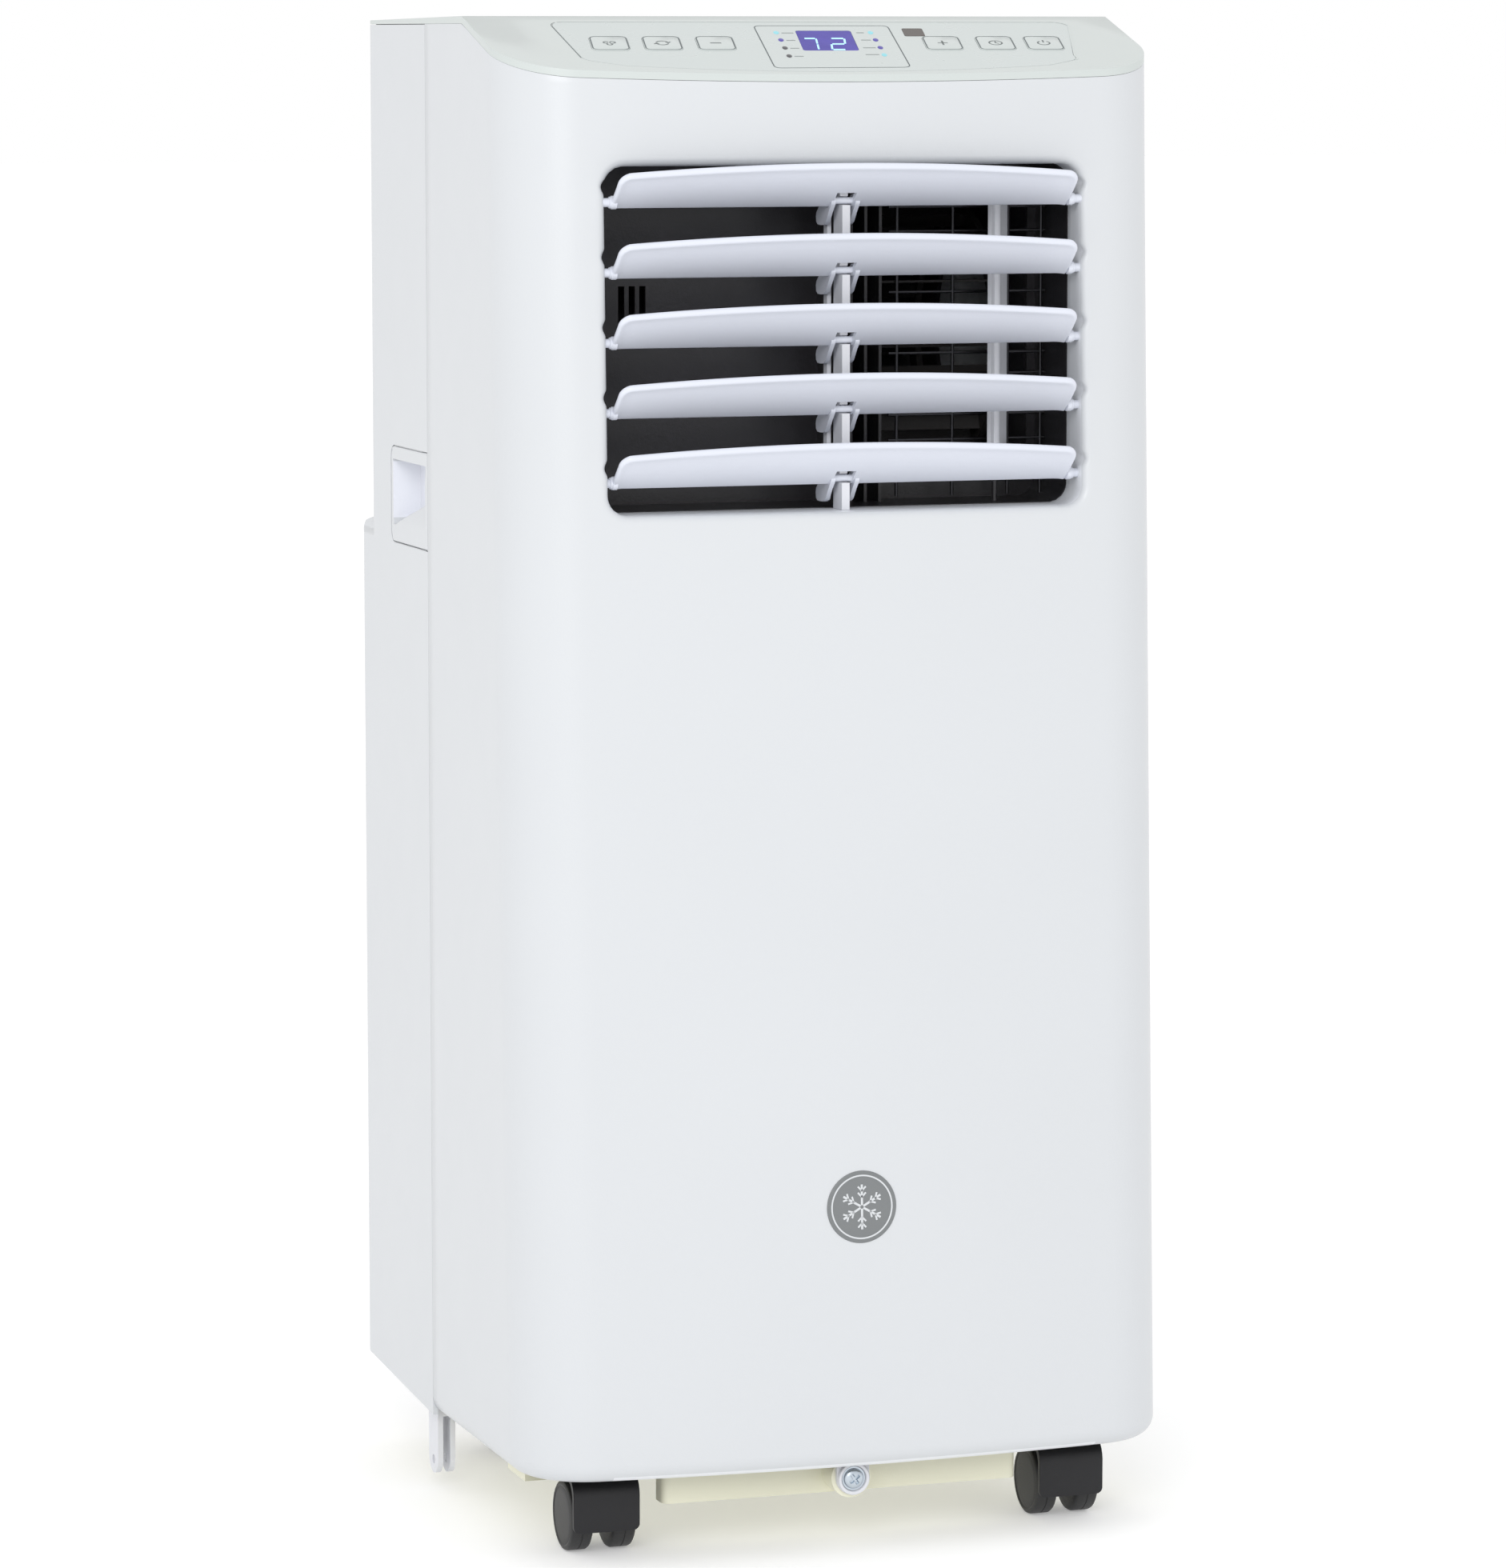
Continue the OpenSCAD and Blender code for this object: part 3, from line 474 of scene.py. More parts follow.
def hole_point(u, side, grow):
    """Point of the outlet's rounded outline, u from -1 to 1 along one side, grown outwards."""
    w, h, r = OUT_X + grow, (OUT_Z1 - OUT_Z0) / 2 + grow, OUT_R + grow
    zc = (OUT_Z0 + OUT_Z1) / 2
    a, b = (w, h) if side in "tb" else (h, w)
    straight = a - r
    run = abs(u) * (straight + r * math.pi / 4)
    sign = 1 if u >= 0 else -1
    if run <= straight:
        p, q = sign * run, b
    else:
        f = (run - straight) / r
        p, q = sign * (straight + r * math.sin(f)), b - r + r * math.cos(f)
    if side == "t":
        return p, zc + q
    if side == "b":
        return p, zc - q
    return (q if side == "r" else -q), zc + p


def build_front_shell():
    net = Net()
    fx, z0, z1 = 119.0, 463.5, 634.5
    nx, nz = 72, 171
    xs = [-fx + 2 * fx * k / nx for k in range(nx + 1)]
    zs = [z0 + (z1 - z0) * k / nz for k in range(nz + 1)]
    roll = 9.0
    low = [SHELL_Z + 0.02 + roll * (1 - math.cos(math.pi / 2 * k / 10)) for k in range(10)]
    low += [SHELL_Z + 0.02 + roll + (z0 - SHELL_Z - roll) * k / 39 for k in range(39)]
    tops = 10

    def rolled(x, y, z):
        """Pulls the lowest rows inwards, so that the lower edge is round."""
        drop = roll - (z - SHELL_Z)
        if drop <= 0:
            return x, y
        pull = roll - math.sqrt(max(0.0, roll * roll - drop * drop))
        if abs(x) <= TANGENT_X - 1.0:
            return x, y + pull
        mx, my = math.copysign(HALF_W - FRONT_R, x), front_y(z) + CORNER_CY / math.cos(LEAN)
        d = Vector((x - mx, min(0.0, y - my))).normalized()
        return x - d.x * pull, y - d.y * pull

    def flank():
        """Plan points right of x = fx: the last of the front, the corner and the side."""
        pts = [(fx, bow_y(fx)), ((fx + TANGENT_X) / 2, bow_y((fx + TANGENT_X) / 2))]
        a0 = math.atan2(bow_y(TANGENT_X) - CORNER_CY, TANGENT_X - (HALF_W - FRONT_R))
        for k in range(19):
            a = a0 * (1 - k / 18)
            pts.append((HALF_W - FRONT_R + FRONT_R * math.cos(a), CORNER_CY + FRONT_R * math.sin(a)))
        return pts

    plan = flank()
    sides = 10

    def column(i, z):
        """Plan place of column i at height z; columns past the plan run back to the seam."""
        if i < len(plan):
            x, y = plan[i]
            return x, front_y(z) + y / math.cos(LEAN)
        x, y = plan[-1]
        y0 = front_y(z) + y / math.cos(LEAN)
        return x, y0 + (SEAM_Y - 0.15 - y0) * (i - len(plan) + 1) / sides

    ncol = len(plan) + sides

    def roof(y_at):
        """Height at which a column meets the cover's lower face."""
        z = 688.0
        for _ in range(6):
            y = y_at(z)
            z = COVER_Z - 0.04 + min(0.0, (y - RIDGE_Y) * math.tan(SLOPE))
        return z

    rows = low + zs
    for sx in (-1, 1):
        for i in range(ncol):
            for j, z in enumerate(rows):
                x, y = rolled(*column(i, z), z)
                net.put(("s", sx, i, j), mm(sx * x, y, z))
            top = roof(lambda z: column(i, z)[1])
            for k in range(1, tops + 1):
                z = z1 + (top - z1) * k / tops
                x, y = column(i, z)
                net.put(("s", sx, i, len(rows) - 1 + k), mm(sx * x, y, z))
        total = len(rows) + tops
        for i in range(ncol - 1):
            for j in range(total - 1):
                net.face(("s", sx, i, j), ("s", sx, i + 1, j), ("s", sx, i + 1, j + 1), ("s", sx, i, j + 1))
    for k, x in enumerate(xs):
        for j, z in enumerate(low):
            net.put(("m", k, j), mm(*rolled(x, face_y(x, z), z), z))
        net.put(("m", k, len(low)), mm(x, face_y(x, z0), z0))
        net.put(("m", k, len(rows) - 1), mm(x, face_y(x, z1), z1))
        top = roof(lambda z: face_y(x, z))
        for q in range(1, tops + 1):
            z = z1 + (top - z1) * q / tops
            net.put(("m", k, len(rows) - 1 + q), mm(x, face_y(x, z), z))
    total = len(rows) + tops
    for j in range(total):
        for k, sx in ((0, -1), (nx, 1)):
            net.at[("m", k, j)] = net.at[("s", sx, 0, j)]
    band = list(range(len(low) + 1)) + list(range(len(rows) - 1, total))
    for a, b in zip(band, band[1:]):
        if b - a == 1:
            for k in range(nx):
                net.face(("m", k, a), ("m", k + 1, a), ("m", k + 1, b), ("m", k, b))
    # rings from the rectangle to the outlet's edge and into it
    base = len(low)
    rim = []
    rim += [(("m", k, base), "b", 2 * k / nx - 1) for k in range(nx)]
    rim += [(("s", 1, 0, base + k), "r", 2 * k / nz - 1) for k in range(nz)]
    rim += [(("m", k, len(rows) - 1), "t", 2 * k / nx - 1) for k in range(nx, 0, -1)]
    rim += [(("s", -1, 0, base + k), "l", 2 * k / nz - 1) for k in range(nz, 0, -1)]
    big = 4.0
    steps = [("blend", 0.5)] + [("round", math.pi / 2 * k / 7) for k in range(8)]
    steps += [("wall", 0.35), ("wall", 0.7), ("wall", 1.0)]
    for n, (key, side, u) in enumerate(rim):
        start = net.at[key].co / MM
        net.at[("r", 0, n)] = net.at[key]
        for m, (kind, t) in enumerate(steps, 1):
            if kind == "blend":
                x, z = hole_point(u, side, big)
                x, z = start.x + (x - start.x) * t, start.z + (z - start.z) * t
                y = face_y(x, z)
            elif kind == "round":
                x, z = hole_point(u, side, big * (1 - math.sin(t)))
                y = face_y(x, z) + big * (1 - math.cos(t))
            else:
                x, z = hole_point(u, side, 0)
                y0 = face_y(x, z) + big
                y = y0 + (SLEEVE_Y - y0) * t
            if side in "lr" and kind == "round":
                for zp in LOUVER_Z:
                    dz = (z - zp - 7.0) / 4.0
                    if abs(dz) < 1:
                        x += math.copysign(1.4 * (1 - dz * dz) ** 2 * math.sin(t), x)
            net.put(("r", m, n), mm(x, y, z))
    for m in range(len(steps)):
        for n in range(len(rim)):
            q = (n + 1) % len(rim)
            net.face(("r", m, n), ("r", m, q), ("r", m + 1, q), ("r", m + 1, n))
    ob = new_object("front_shell_looks", net.bm, WHITE, BODY["front_shell"], smooth=50)
    # the return wall and the last of its rounding take the lighter copy of the white: painted light
    ob.data.materials.append(RETURN_PAINTED_LIGHT)
    for p in ob.data.polygons:
        c = p.center / MM
        p.material_index = int(c.y > face_y(c.x, c.z) + 2.8 and abs(c.x) < 116 and c.z < 632)
    sol = ob.modifiers.new("wall", "SOLIDIFY")
    sol.thickness = 2.2 * MM
    sol.offset = -1.0
    add_bevel(ob, 0.12, 2, 60, even=False)
    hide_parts("front_shell")


def build_screw_tab():
    """White tab under the front edge with its collar."""
    def at(u, v, h):
        return mm(u, -131.2 - h, 31.6 + v)
    shape = arc(0, 0, 7.7, 180, 360, 24) + [(7.7, 9.2), (-7.7, 9.2)]
    hole = list(reversed(rounded(5.0, 5.0, 2.49, 6)))
    bm = outline_prism(shape, [hole], 0.0, 2.4, at)
    rim = [(0, 5.7), (0, 7.6), (1.2, 7.6), (1.8, 7.2), (1.9, 6.6), (1.6, 6.0), (0.6, 5.7)]
    collar = lathe_ring(rim, (0, -133.5, 31.6), (0, -1, 0))
    ob = new_object("screw_tab", merge(bm, collar), PIVOT, BODY["front_shell"])
    add_bevel(ob, 0.4, 2, 50)


def build_screw():
    """Pan-head screw with a cross recess."""
    n, spin = 96, math.radians(35)
    radii = [0.02] + [0.16 * k for k in range(1, 28)] + [4.5, 4.62, 4.7]
    net = Net()
    for i, r in enumerate(radii):
        for k in range(n):
            a = 2 * math.pi * k / n
            u, v = r * math.cos(a), r * math.sin(a)
            cu, cv = abs(u * math.cos(spin) + v * math.sin(spin)), abs(v * math.cos(spin) - u * math.sin(spin))
            inside = min(0.62 - min(cu, cv), 2.5 - max(cu, cv))
            dip = 1.1 * min(1.0, max(0.0, inside / 0.25 + 0.5))
            h = 1.9 * math.sqrt(max(0.0, 1 - (r / 4.72) ** 2.6)) - dip
            net.put((i, k), mm(u, -134.3 - h, 31.6 + v))
    for i in range(len(radii) - 1):
        for k in range(n):
            j = (k + 1) % n
            net.face((i, k), (i, j), (i + 1, j), (i + 1, k))
    net.face(*[(0, k) for k in range(n)])
    shank = lathe(rounded_profile(12.4, 1.5, 0.4), (0, -134.4, 31.6), (0, 1, 0), 24)
    washer = lathe([(0, 2.0), (0, 5.5), (0.25, 5.6), (0.5, 5.5), (0.5, 2.0)], (0, -133.75, 31.6), (0, -1, 0), 56)
    ob = new_object("front_screw", merge(net.bm, shank, washer), STEEL, BODY["shell_screws"])
    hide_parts("shell_screws")


# ---------- louvers ----------


def build_louver(i):
    z_pin = LOUVER_Z[i]
    chord = Vector((0, -math.cos(TILT), math.sin(TILT)))
    up = Vector((0, math.sin(TILT), math.cos(TILT)))
    end, corner = BLADE_X, BLADE_R
    corner_s = CHORD - 5 - corner
    bend = (end * end + BLADE_SAG**2) / (2 * BLADE_SAG)

    def rim(x):
        s = CHORD - (bend - math.sqrt(bend * bend - x * x))
        over = abs(x) - (end - corner)
        if over > 0:
            s = min(s, corner_s + math.sqrt(max(0.0, corner**2 - over * over)))
        return s

    near = [0, 0.06, 0.2, 0.45, 0.8, 1.3, 2, 3, 4.2, 5.6, 7.2, 9, 12]
    half = [end - n for n in near] + [end - 12 - k * (end - 12 - 4.6) / 22 for k in range(1, 23)] + [2.3, 0.0]
    xs = sorted({round(v, 4) for v in half} | {round(-v, 4) for v in half})
    heel = [-3.4, -3.3, -3.05, -2.6, -2, -1, 0.5, 2, 4, 6, 8]
    fr = [0.12, 0.24, 0.36, 0.48, 0.6, 0.7, 0.78, 0.84, 0.89, 0.93, 0.96, 0.98, 0.993, 1.0]
    net = Net()
    bulge = 1.2
    for a, x in enumerate(xs):
        top = rim(x)
        for b in range(len(heel) + len(fr)):
            s = heel[b] if b < len(heel) else 8 + (top - 8) * fr[b - len(heel)]
            d = min(top - s, end - abs(x))
            corner_x = end - corner
            if abs(x) > corner_x and s > corner_s:
                d = min(d, corner - math.hypot(abs(x) - corner_x, s - corner_s))
            d = max(0.0, d)
            e = 1.7
            h = 0.95 + 0.75 * math.exp(-((d / 2.6) ** 2))
            if d < e:
                h *= math.sqrt(max(0.0, 1 - (1 - d / e) ** 2))
            back = s + 3.4
            if back < 1.0:
                h *= math.sqrt(max(0.0, 1 - (1 - back) ** 2))
            mid = bulge * (1 - ((s - 11) / 15) ** 2)
            p = Vector((x - 1.1, PIN_Y, z_pin)) + chord * s - up * mid
            net.put(("u", a, b), (p + up * h) * MM)
            if h < 1e-4:
                net.at[("d", a, b)] = net.at[("u", a, b)]
            else:
                net.put(("d", a, b), (p - up * h) * MM)
    rows = len(heel) + len(fr)

    def gone(a, b):
        return abs(xs[a] + xs[a + 1]) / 2 < 4.6 and b < len(heel) - 1

    for a in range(len(xs) - 1):
        for b in range(rows - 1):
            if gone(a, b):
                continue
            net.face(("u", a, b), ("u", a + 1, b), ("u", a + 1, b + 1), ("u", a, b + 1))
            net.face(("d", a, b + 1), ("d", a + 1, b + 1), ("d", a + 1, b), ("d", a, b))
            if b == len(heel) - 1 and gone(a, b - 1):
                net.face(("u", a, b), ("u", a + 1, b), ("d", a + 1, b), ("d", a, b))
    for b in range(len(heel) - 1):
        for k, x in enumerate(xs):
            if abs(abs(x) - 4.6) < 1e-3:
                net.face(("u", k, b), ("u", k, b + 1), ("d", k, b + 1), ("d", k, b))
    blade = net.bm
    bmesh.ops.remove_doubles(blade, verts=blade.verts, dist=1e-6)
    parts = [blade]
    for s in (-1, 1):
        prof = [(0, 2.0), (0.3, 3.0), (2.3, 3.0), (2.7, 2.6), (3.3, 2.6), (3.7, 2.0), (7.5, 2.0), (7.8, 1.7)]
        parts.append(lathe(prof, (s * 106.4, PIN_Y, z_pin), (s, 0, 0), 28))
    parts.append(lathe(rounded_profile(13.6, 1.5, 0.4), (-6.8, PIN_Y, z_pin), (1, 0, 0), 28))
    parts.append(lathe(rounded_profile(3.3, 1.2, 0.3), (-5.4, PIN_Y + 13, z_pin - 8.5), (1, 0, 0), 20))
    ear = [(-2.6, 0.4), (-1.8, 2.2), (0.2, 3.0), (3.5, 2.6), (9, 0.2), (15, -3.0), (18.4, -5.4), (19.2, -7.4),
           (18.8, -9.8), (17, -11), (13, -11.2), (8.5, -11), (5.5, -9.6), (1.6, -5), (-1.4, -2.2), (-2.4, -1.0)]
    for s in (-1, 1):
        x0 = 4.7 if s > 0 else -6.7
        bm = outline_prism(ear, [], 0.0, 2.0, lambda u, v, h: mm(x0 + h, PIN_Y + u, z_pin + v))
        parts.append(bm)
    ob = new_object(f"louver_{i + 1}_looks", merge(*parts), LOUVER, f"louver_{i + 1}", smooth=42)
    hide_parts(f"louver_{i + 1}")


# ---------- control panel ----------

PANEL_MID, SLANT, KEY_W, KEY_L, KEY_GAP = 42.0, 0.19, 17.4, 20.4, 0.35
KEY_X = {"fan": -98.0, "mode": -73.3, "minus": -48.2, "plus": 60.0, "timer": 85.6, "power": 109.0}


def lean(points, x, v):
    """Points drawn round (x, v), leaned sideways like all the panel's graphics."""
    return [(x + a + SLANT * (PANEL_MID - v - b), v + b) for a, b in points]


def key_outline(key, grow=0.0):
    return lean(rounded(KEY_W + 2 * grow, KEY_L + 2 * grow, 3 + grow), KEY_X[key], PANEL_MID)


def overlay_outline(inset=0.0):
    r = 7
    pts = [(12.5 * k, -84 + inset + 9 * (12.5 * k) ** 2 / 10000) for k in range(-8, 9)]
    pts += arc(117 - r - inset, -69 + r + inset, r, 300, 372, 8)
    pts += arc(131 - r - inset, -9 - r - inset, r, 10, 90, 8)
    pts += arc(-117 + r + inset, -9 - r - inset, r, 90, 180, 8)
    pts += arc(-117 + r + inset, -69 + r + inset, r, 180, 240, 8)
    return [(x, -y) for x, y in pts]


def round_quad(corners, r, n=5):
    """Four-cornered outline with rounded corners."""
    out = []
    for k, p in enumerate(corners):
        p = Vector(p)
        a = Vector(corners[k - 1]) - p
        b = Vector(corners[(k + 1) % 4]) - p
        p0, p2 = p + a.normalized() * r, p + b.normalized() * r
        for i in range(n + 1):
            t = i / n
            q = p0 * (1 - t) ** 2 + p * 2 * t * (1 - t) + p2 * t * t
            out.append((q.x, q.y))
    return out


def print_on(name, bms, mat, body="housing"):
    new_object(name, merge(*bms), mat, body, smooth=30)


def build_overlay():
    holes = [key_outline(k, KEY_GAP) for k in KEY_X]
    holes.append(lean(rounded(26.6, 30.6, 1.5), 5.2, 37.4))
    holes.append(lean(rounded(10, 12, 1), 48.5, 25))
    bm = outline_prism(overlay_outline(0.15), holes, -0.9, 0.0, slope_point)
    ob = new_object("control_overlay_looks", bm, PANEL, BODY["control_overlay"], smooth=0)
    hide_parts("control_overlay")
    # a lighter strip along the top and right edges is a painted highlight for the lit wall of the overlay's recess
    rim = overlay_outline(-0.35)
    top_right = rim[19:38]
    left = rim[38:46]
    print_on("overlay_painted_highlight", [stroke(top_right, 0.9, 0.0, 0.16, slope_point)], COVER)
    # a thin dark line along the left edge is a painted shadow in the recess gap
    print_on("overlay_painted_shadow", [stroke(left, 0.3, 0.0, 0.05, slope_point)], INK_AND_SHADOW_GREY)


def build_panel_prints():
    frame_line = round_quad([(-21.8, 14.8), (42.6, 14.7), (32.3, 77.9), (-31.9, 78.7)], 3.5)
    print_on("display_frame", [stroke(frame_line, 0.55, 0.0, 0.05, slope_point, closed=True)], INK_AND_SHADOW_GREY)
    dots = {"cyan": [(-14.3, 25.4), (30.9, 25.4), (26.1, 59.3)],
            "violet": [(-15.6, 36.6), (29.6, 36.6), (27.9, 48.3)],
            "off": [(-17.6, 48.7), (-19.5, 60.8)]}
    mats = {"cyan": DOT_CYAN, "violet": DOT_BLUE, "off": DOT_OFF}
    for kind, places in dots.items():
        bms = []
        for u, v in places:
            ring = [(1.3 * math.cos(a), 2.4 * math.sin(a)) for a in (math.pi * k / 12 for k in range(24))]
            rows = [[slope_point(*lean([(a * g, b * g)], u - SLANT * (PANEL_MID - v), v)[0], h)
                     for a, b in ring] for g, h in ((1, 0), (1, 0.08), (0.7, 0.2), (0.25, 0.25))]
            bms.append(loft(rows))
        print_on("lamps_" + kind, bms, mats[kind])
    dashes = []
    for u, v, w in [(-11.9, 26, 5.6), (-13.2, 37.2, 4.2), (-15.2, 49.2, 4.2), (-17.1, 61.3, 4.2),
                    (24.0, 25.6, 3.6), (22.6, 36.8, 4.6), (19.6, 48.6, 6.0), (17.4, 58.9, 6.4)]:
        dashes.append(stroke([(u, v), (u + w, v)], 1.0, 0.0, 0.04, slope_point))
    print_on("lamp_dashes", dashes, FAINT_INK)


SEGMENTS = {"a": ((0, 0), (1, 0)), "b": ((1, 0), (1, 0.5)), "c": ((1, 0.5), (1, 1)), "d": ((0, 1), (1, 1)),
            "e": ((0, 0.5), (0, 1)), "f": ((0, 0), (0, 0.5)), "g": ((0, 0.5), (1, 0.5))}


def build_digits():
    """Two seven-segment digits in the display window."""
    bms = []
    for quad, lit in (([(-4, 34), (1.9, 34), (-2.2, 51), (-8.2, 51)], "abc"),
                      ([(8.8, 34), (15.4, 34), (10.8, 51), (4.2, 51)], "abged")):
        tl, tr, br, bl = [Vector(q) for q in quad]

        def at(s, t):
            return tl * (1 - s) * (1 - t) + tr * s * (1 - t) + br * s * t + bl * (1 - s) * t
        for seg in lit:
            (s0, t0), (s1, t1) = SEGMENTS[seg]
            flat = t0 == t1
            ws, wt = (0.0, 0.055) if flat else (0.075, 0.0)
            gs, gt = (0.07, 0.0) if flat else (0.0, 0.035)
            pts = [at(s0 + gs - ws, t0 + gt - wt), at(s1 - gs - ws, t1 - gt - wt),
                   at(s1 - gs + ws, t1 - gt + wt), at(s0 + gs + ws, t0 + gt + wt)]
            bms.append(loft([[slope_point(p.x, p.y, h) for p in pts] for h in (-0.1, -0.04)]))
    print_on("display_digits", bms, DIGIT)


def icon(key):
    """Strokes of a plain symbol for one key."""
    if key == "minus":
        return [([(-2.6, 0), (2.6, 0)], False)]
    if key == "plus":
        return [([(-2.4, 0), (2.4, 0)], False), ([(0, -3.2), (0, 3.2)], False)]
    if key == "power":
        return [(arc(0, 0.2, 2.9, -55, 235, 16), False), ([(0, -4.0), (0, -0.6)], False)]
    if key == "timer":
        return [(arc(0, 0, 3.1, 0, 345, 18), True), ([(0, -2.1), (0, 0), (1.5, 1.0)], False)]
    if key == "mode":
        return [(arc(0, 0, 2.9, 20, 165, 9), False), (arc(0, 0, 2.9, 200, 345, 9), False),
                ([(-3.9, 1.6), (-2.8, 0.2), (-1.6, 1.5)], False), ([(3.9, -1.6), (2.8, -0.2), (1.6, -1.5)], False)]
    blades = []
    for a in (90, 210, 330):
        cx, cy = 1.75 * math.cos(math.radians(a)), 1.75 * math.sin(math.radians(a))
        blades.append((arc(cx, cy, 1.25, a - 170, a + 120, 10), False))
    return blades


def build_keys():
    for key, x in KEY_X.items():
        out = key_outline(key, 0.22)
        rows = [[slope_point(u, v, h) for u, v in loop] for loop, h in
                ((out, -2.6), (out, 0.1), (key_outline(key, 0.14), 0.24), (key_outline(key), 0.3))]
        stem = lathe(rounded_profile(7, 2, 0.3), (x, -PANEL_MID, 0), (0, 0, 1), 24)
        turn = Matrix.Translation(slope_point(0, 0)) @ Matrix.Rotation(SLOPE, 4, "X")
        stem.transform(turn @ Matrix.Translation(mm(0, 0, -9)))
        ob = new_object(f"button_{key}_looks", merge(loft(rows), stem), KEY, f"key_{key}", smooth=25)
        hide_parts(f"button_{key}")
        ring = lean(rounded(KEY_W - 0.6, KEY_L - 0.8, 2.7), x, PANEL_MID)
        print_on(f"button_{key}_ring", [stroke(ring, 0.6, 0.3, 0.33, slope_point, closed=True)],
                 INK_AND_SHADOW_GREY, f"key_{key}")
        wide = {"minus": 1.15, "plus": 0.9}.get(key, 0.78)
        lines = [stroke(lean(pts, x, PANEL_MID), wide, 0.3, 0.33, slope_point, closed)
                 for pts, closed in icon(key)]
        print_on(f"button_{key}_icon", lines, PALE_INK, f"key_{key}")


# ---------- badge ----------

BADGE_Z = 158.9


def badge_point(u, v, h):
    y = front_y(BADGE_Z) - 6.4
    return mm(u, y + v * math.sin(LEAN) - h * math.cos(LEAN), BADGE_Z + v * math.cos(LEAN) + h * math.sin(LEAN))


def build_badge():
    def disc(profile, n=72):
        return loft([[badge_point(max(r, 0.01) * math.cos(a), max(r, 0.01) * math.sin(a), h)
                      for a in (2 * math.pi * k / n for k in range(n))] for h, r in profile])
    ob = new_object("badge_looks", disc([(-0.6, 16.5), (0.1, 16.5), (0.3, 16.35), (0.4, 16.0), (0.4, 0)]),
                    BADGE, BODY["badge"])
    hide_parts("badge")
    circle = [(14.3 * math.cos(a), 14.3 * math.sin(a)) for a in (2 * math.pi * k / 72 for k in range(72))]
    bms = [stroke(circle, 0.7, 0.4, 0.5, badge_point, closed=True)]
    for k in range(6):
        c, s = math.cos(math.pi / 3 * k + math.pi / 6), math.sin(math.pi / 3 * k + math.pi / 6)

        def turn(p):
            return (p[0] * c - p[1] * s, p[0] * s + p[1] * c)
        bms.append(stroke([turn(p) for p in ((0.8, 0), (10.2, 0))], 1.0, 0.4, 0.5, badge_point))
        for r in (4.6, 7.4):
            bms.append(stroke([turn(p) for p in ((r + 1.9, 1.9), (r, 0), (r + 1.9, -1.9))], 0.8, 0.4, 0.5,
                              badge_point))
    print_on("badge_print", bms, BADGE_EDGE, BODY["badge"])


# ---------- grips ----------


def build_handle(s):
    """Grip cup: rounded plate, soft-edged pocket and a curved ramp inside it."""
    name = "handle_left" if s < 0 else "handle_right"
    y0, y1, z0, z1 = 22.0, 86.0, 446.3, 491.7
    py0, py1, pz0, pz1 = 25.0, 82.0, 455.0, 485.0
    ny, nz = 96, 72
    net = Net()

    def smooth(t):
        t = min(1.0, max(0.0, t))
        return t * t * (3 - 2 * t)

    def depth(y, z):
        if not (py0 < y < py1 and pz0 < z < pz1):
            return 0.0
        # the ramp climbs from the low back corner and turns up steeply at the front
        f = (py1 - y) / (py1 - py0)
        curve = pz0 + (pz1 - pz0) * (0.03 + 0.55 * f + 0.42 * f**14)
        deep = smooth((z - curve) / 5.0 + 0.5)
        edge = min(py1 - y, pz1 - z) / 1.5
        lip = math.sqrt(max(0.0, 1 - (1 - min(1.0, edge)) ** 2))
        ramp = 4.0 * smooth(min(z - pz0, (y - py0) * 1.5) / 13.0)
        return lip * (ramp * (1 - deep) + 13.0 * deep)

    def edge_in(y, z):
        """Pulls the outline into round corners at the back."""
        r, yc = 6.0, y1 - 6.0
        if y > yc:
            for zc, out in ((z1 - r, z > z1 - r), (z0 + r, z < z0 + r)):
                if out:
                    d = Vector((y - yc, z - zc))
                    m = max(abs(d.x), abs(d.y))
                    if d.length > 1e-6:
                        d *= m / d.length
                    return yc + d.x, zc + d.y
        return y, z

    for i in range(ny + 1):
        for j in range(nz + 1):
            y, z = edge_in(y0 + (y1 - y0) * i / ny, z0 + (z1 - z0) * j / nz)
            rim = min(y1 - (y0 + (y1 - y0) * i / ny), z - z0, z1 - z, 3.0)
            soft = 0.5 * (1 - smooth(max(0.0, rim) / 0.9)) if i > 0 else 0.0
            x = HALF_W - depth(y, z) - soft
            net.put((i, j), mm(s * x, y, z))
    for i in range(ny):
        for j in range(nz):
            net.face((i, j), (i + 1, j), (i + 1, j + 1), (i, j + 1))
    ob = new_object(name + "_looks", net.bm, WHITE, BODY[name], smooth=60)
    # faces more than 5 mm into the pocket take the lighter copy of the white: painted light
    ob.data.materials.append(GRIP_PAINTED_LIGHT)
    for p in ob.data.polygons:
        p.material_index = int(abs(p.center.x) < (HALF_W - 5.0) * MM)
    sol = ob.modifiers.new("wall", "SOLIDIFY")
    sol.thickness = 1.8 * MM
    sol.offset = -1.0
    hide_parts(name)
    groove = []
    for z, a, b in ((z1 + 0.1, 30.0, 79.0), (z0 - 0.1, 24.0, 81.0)):
        groove.append(stroke([(a, z), (b, z)], 0.24, -0.05, 0.02, lambda u, v, h: mm(s * (HALF_W + h), u, v)))
    new_object(name + "_groove", merge(*groove), SHADE, BODY[name], smooth=30)


# ---------- casters ----------

CASTERS = [(-112.4, -103.5), (112.4, -103.5), (-88.0, 100.0), (88.0, 100.0)]
TRAIL, WHEEL_R = 5.0, 16.0


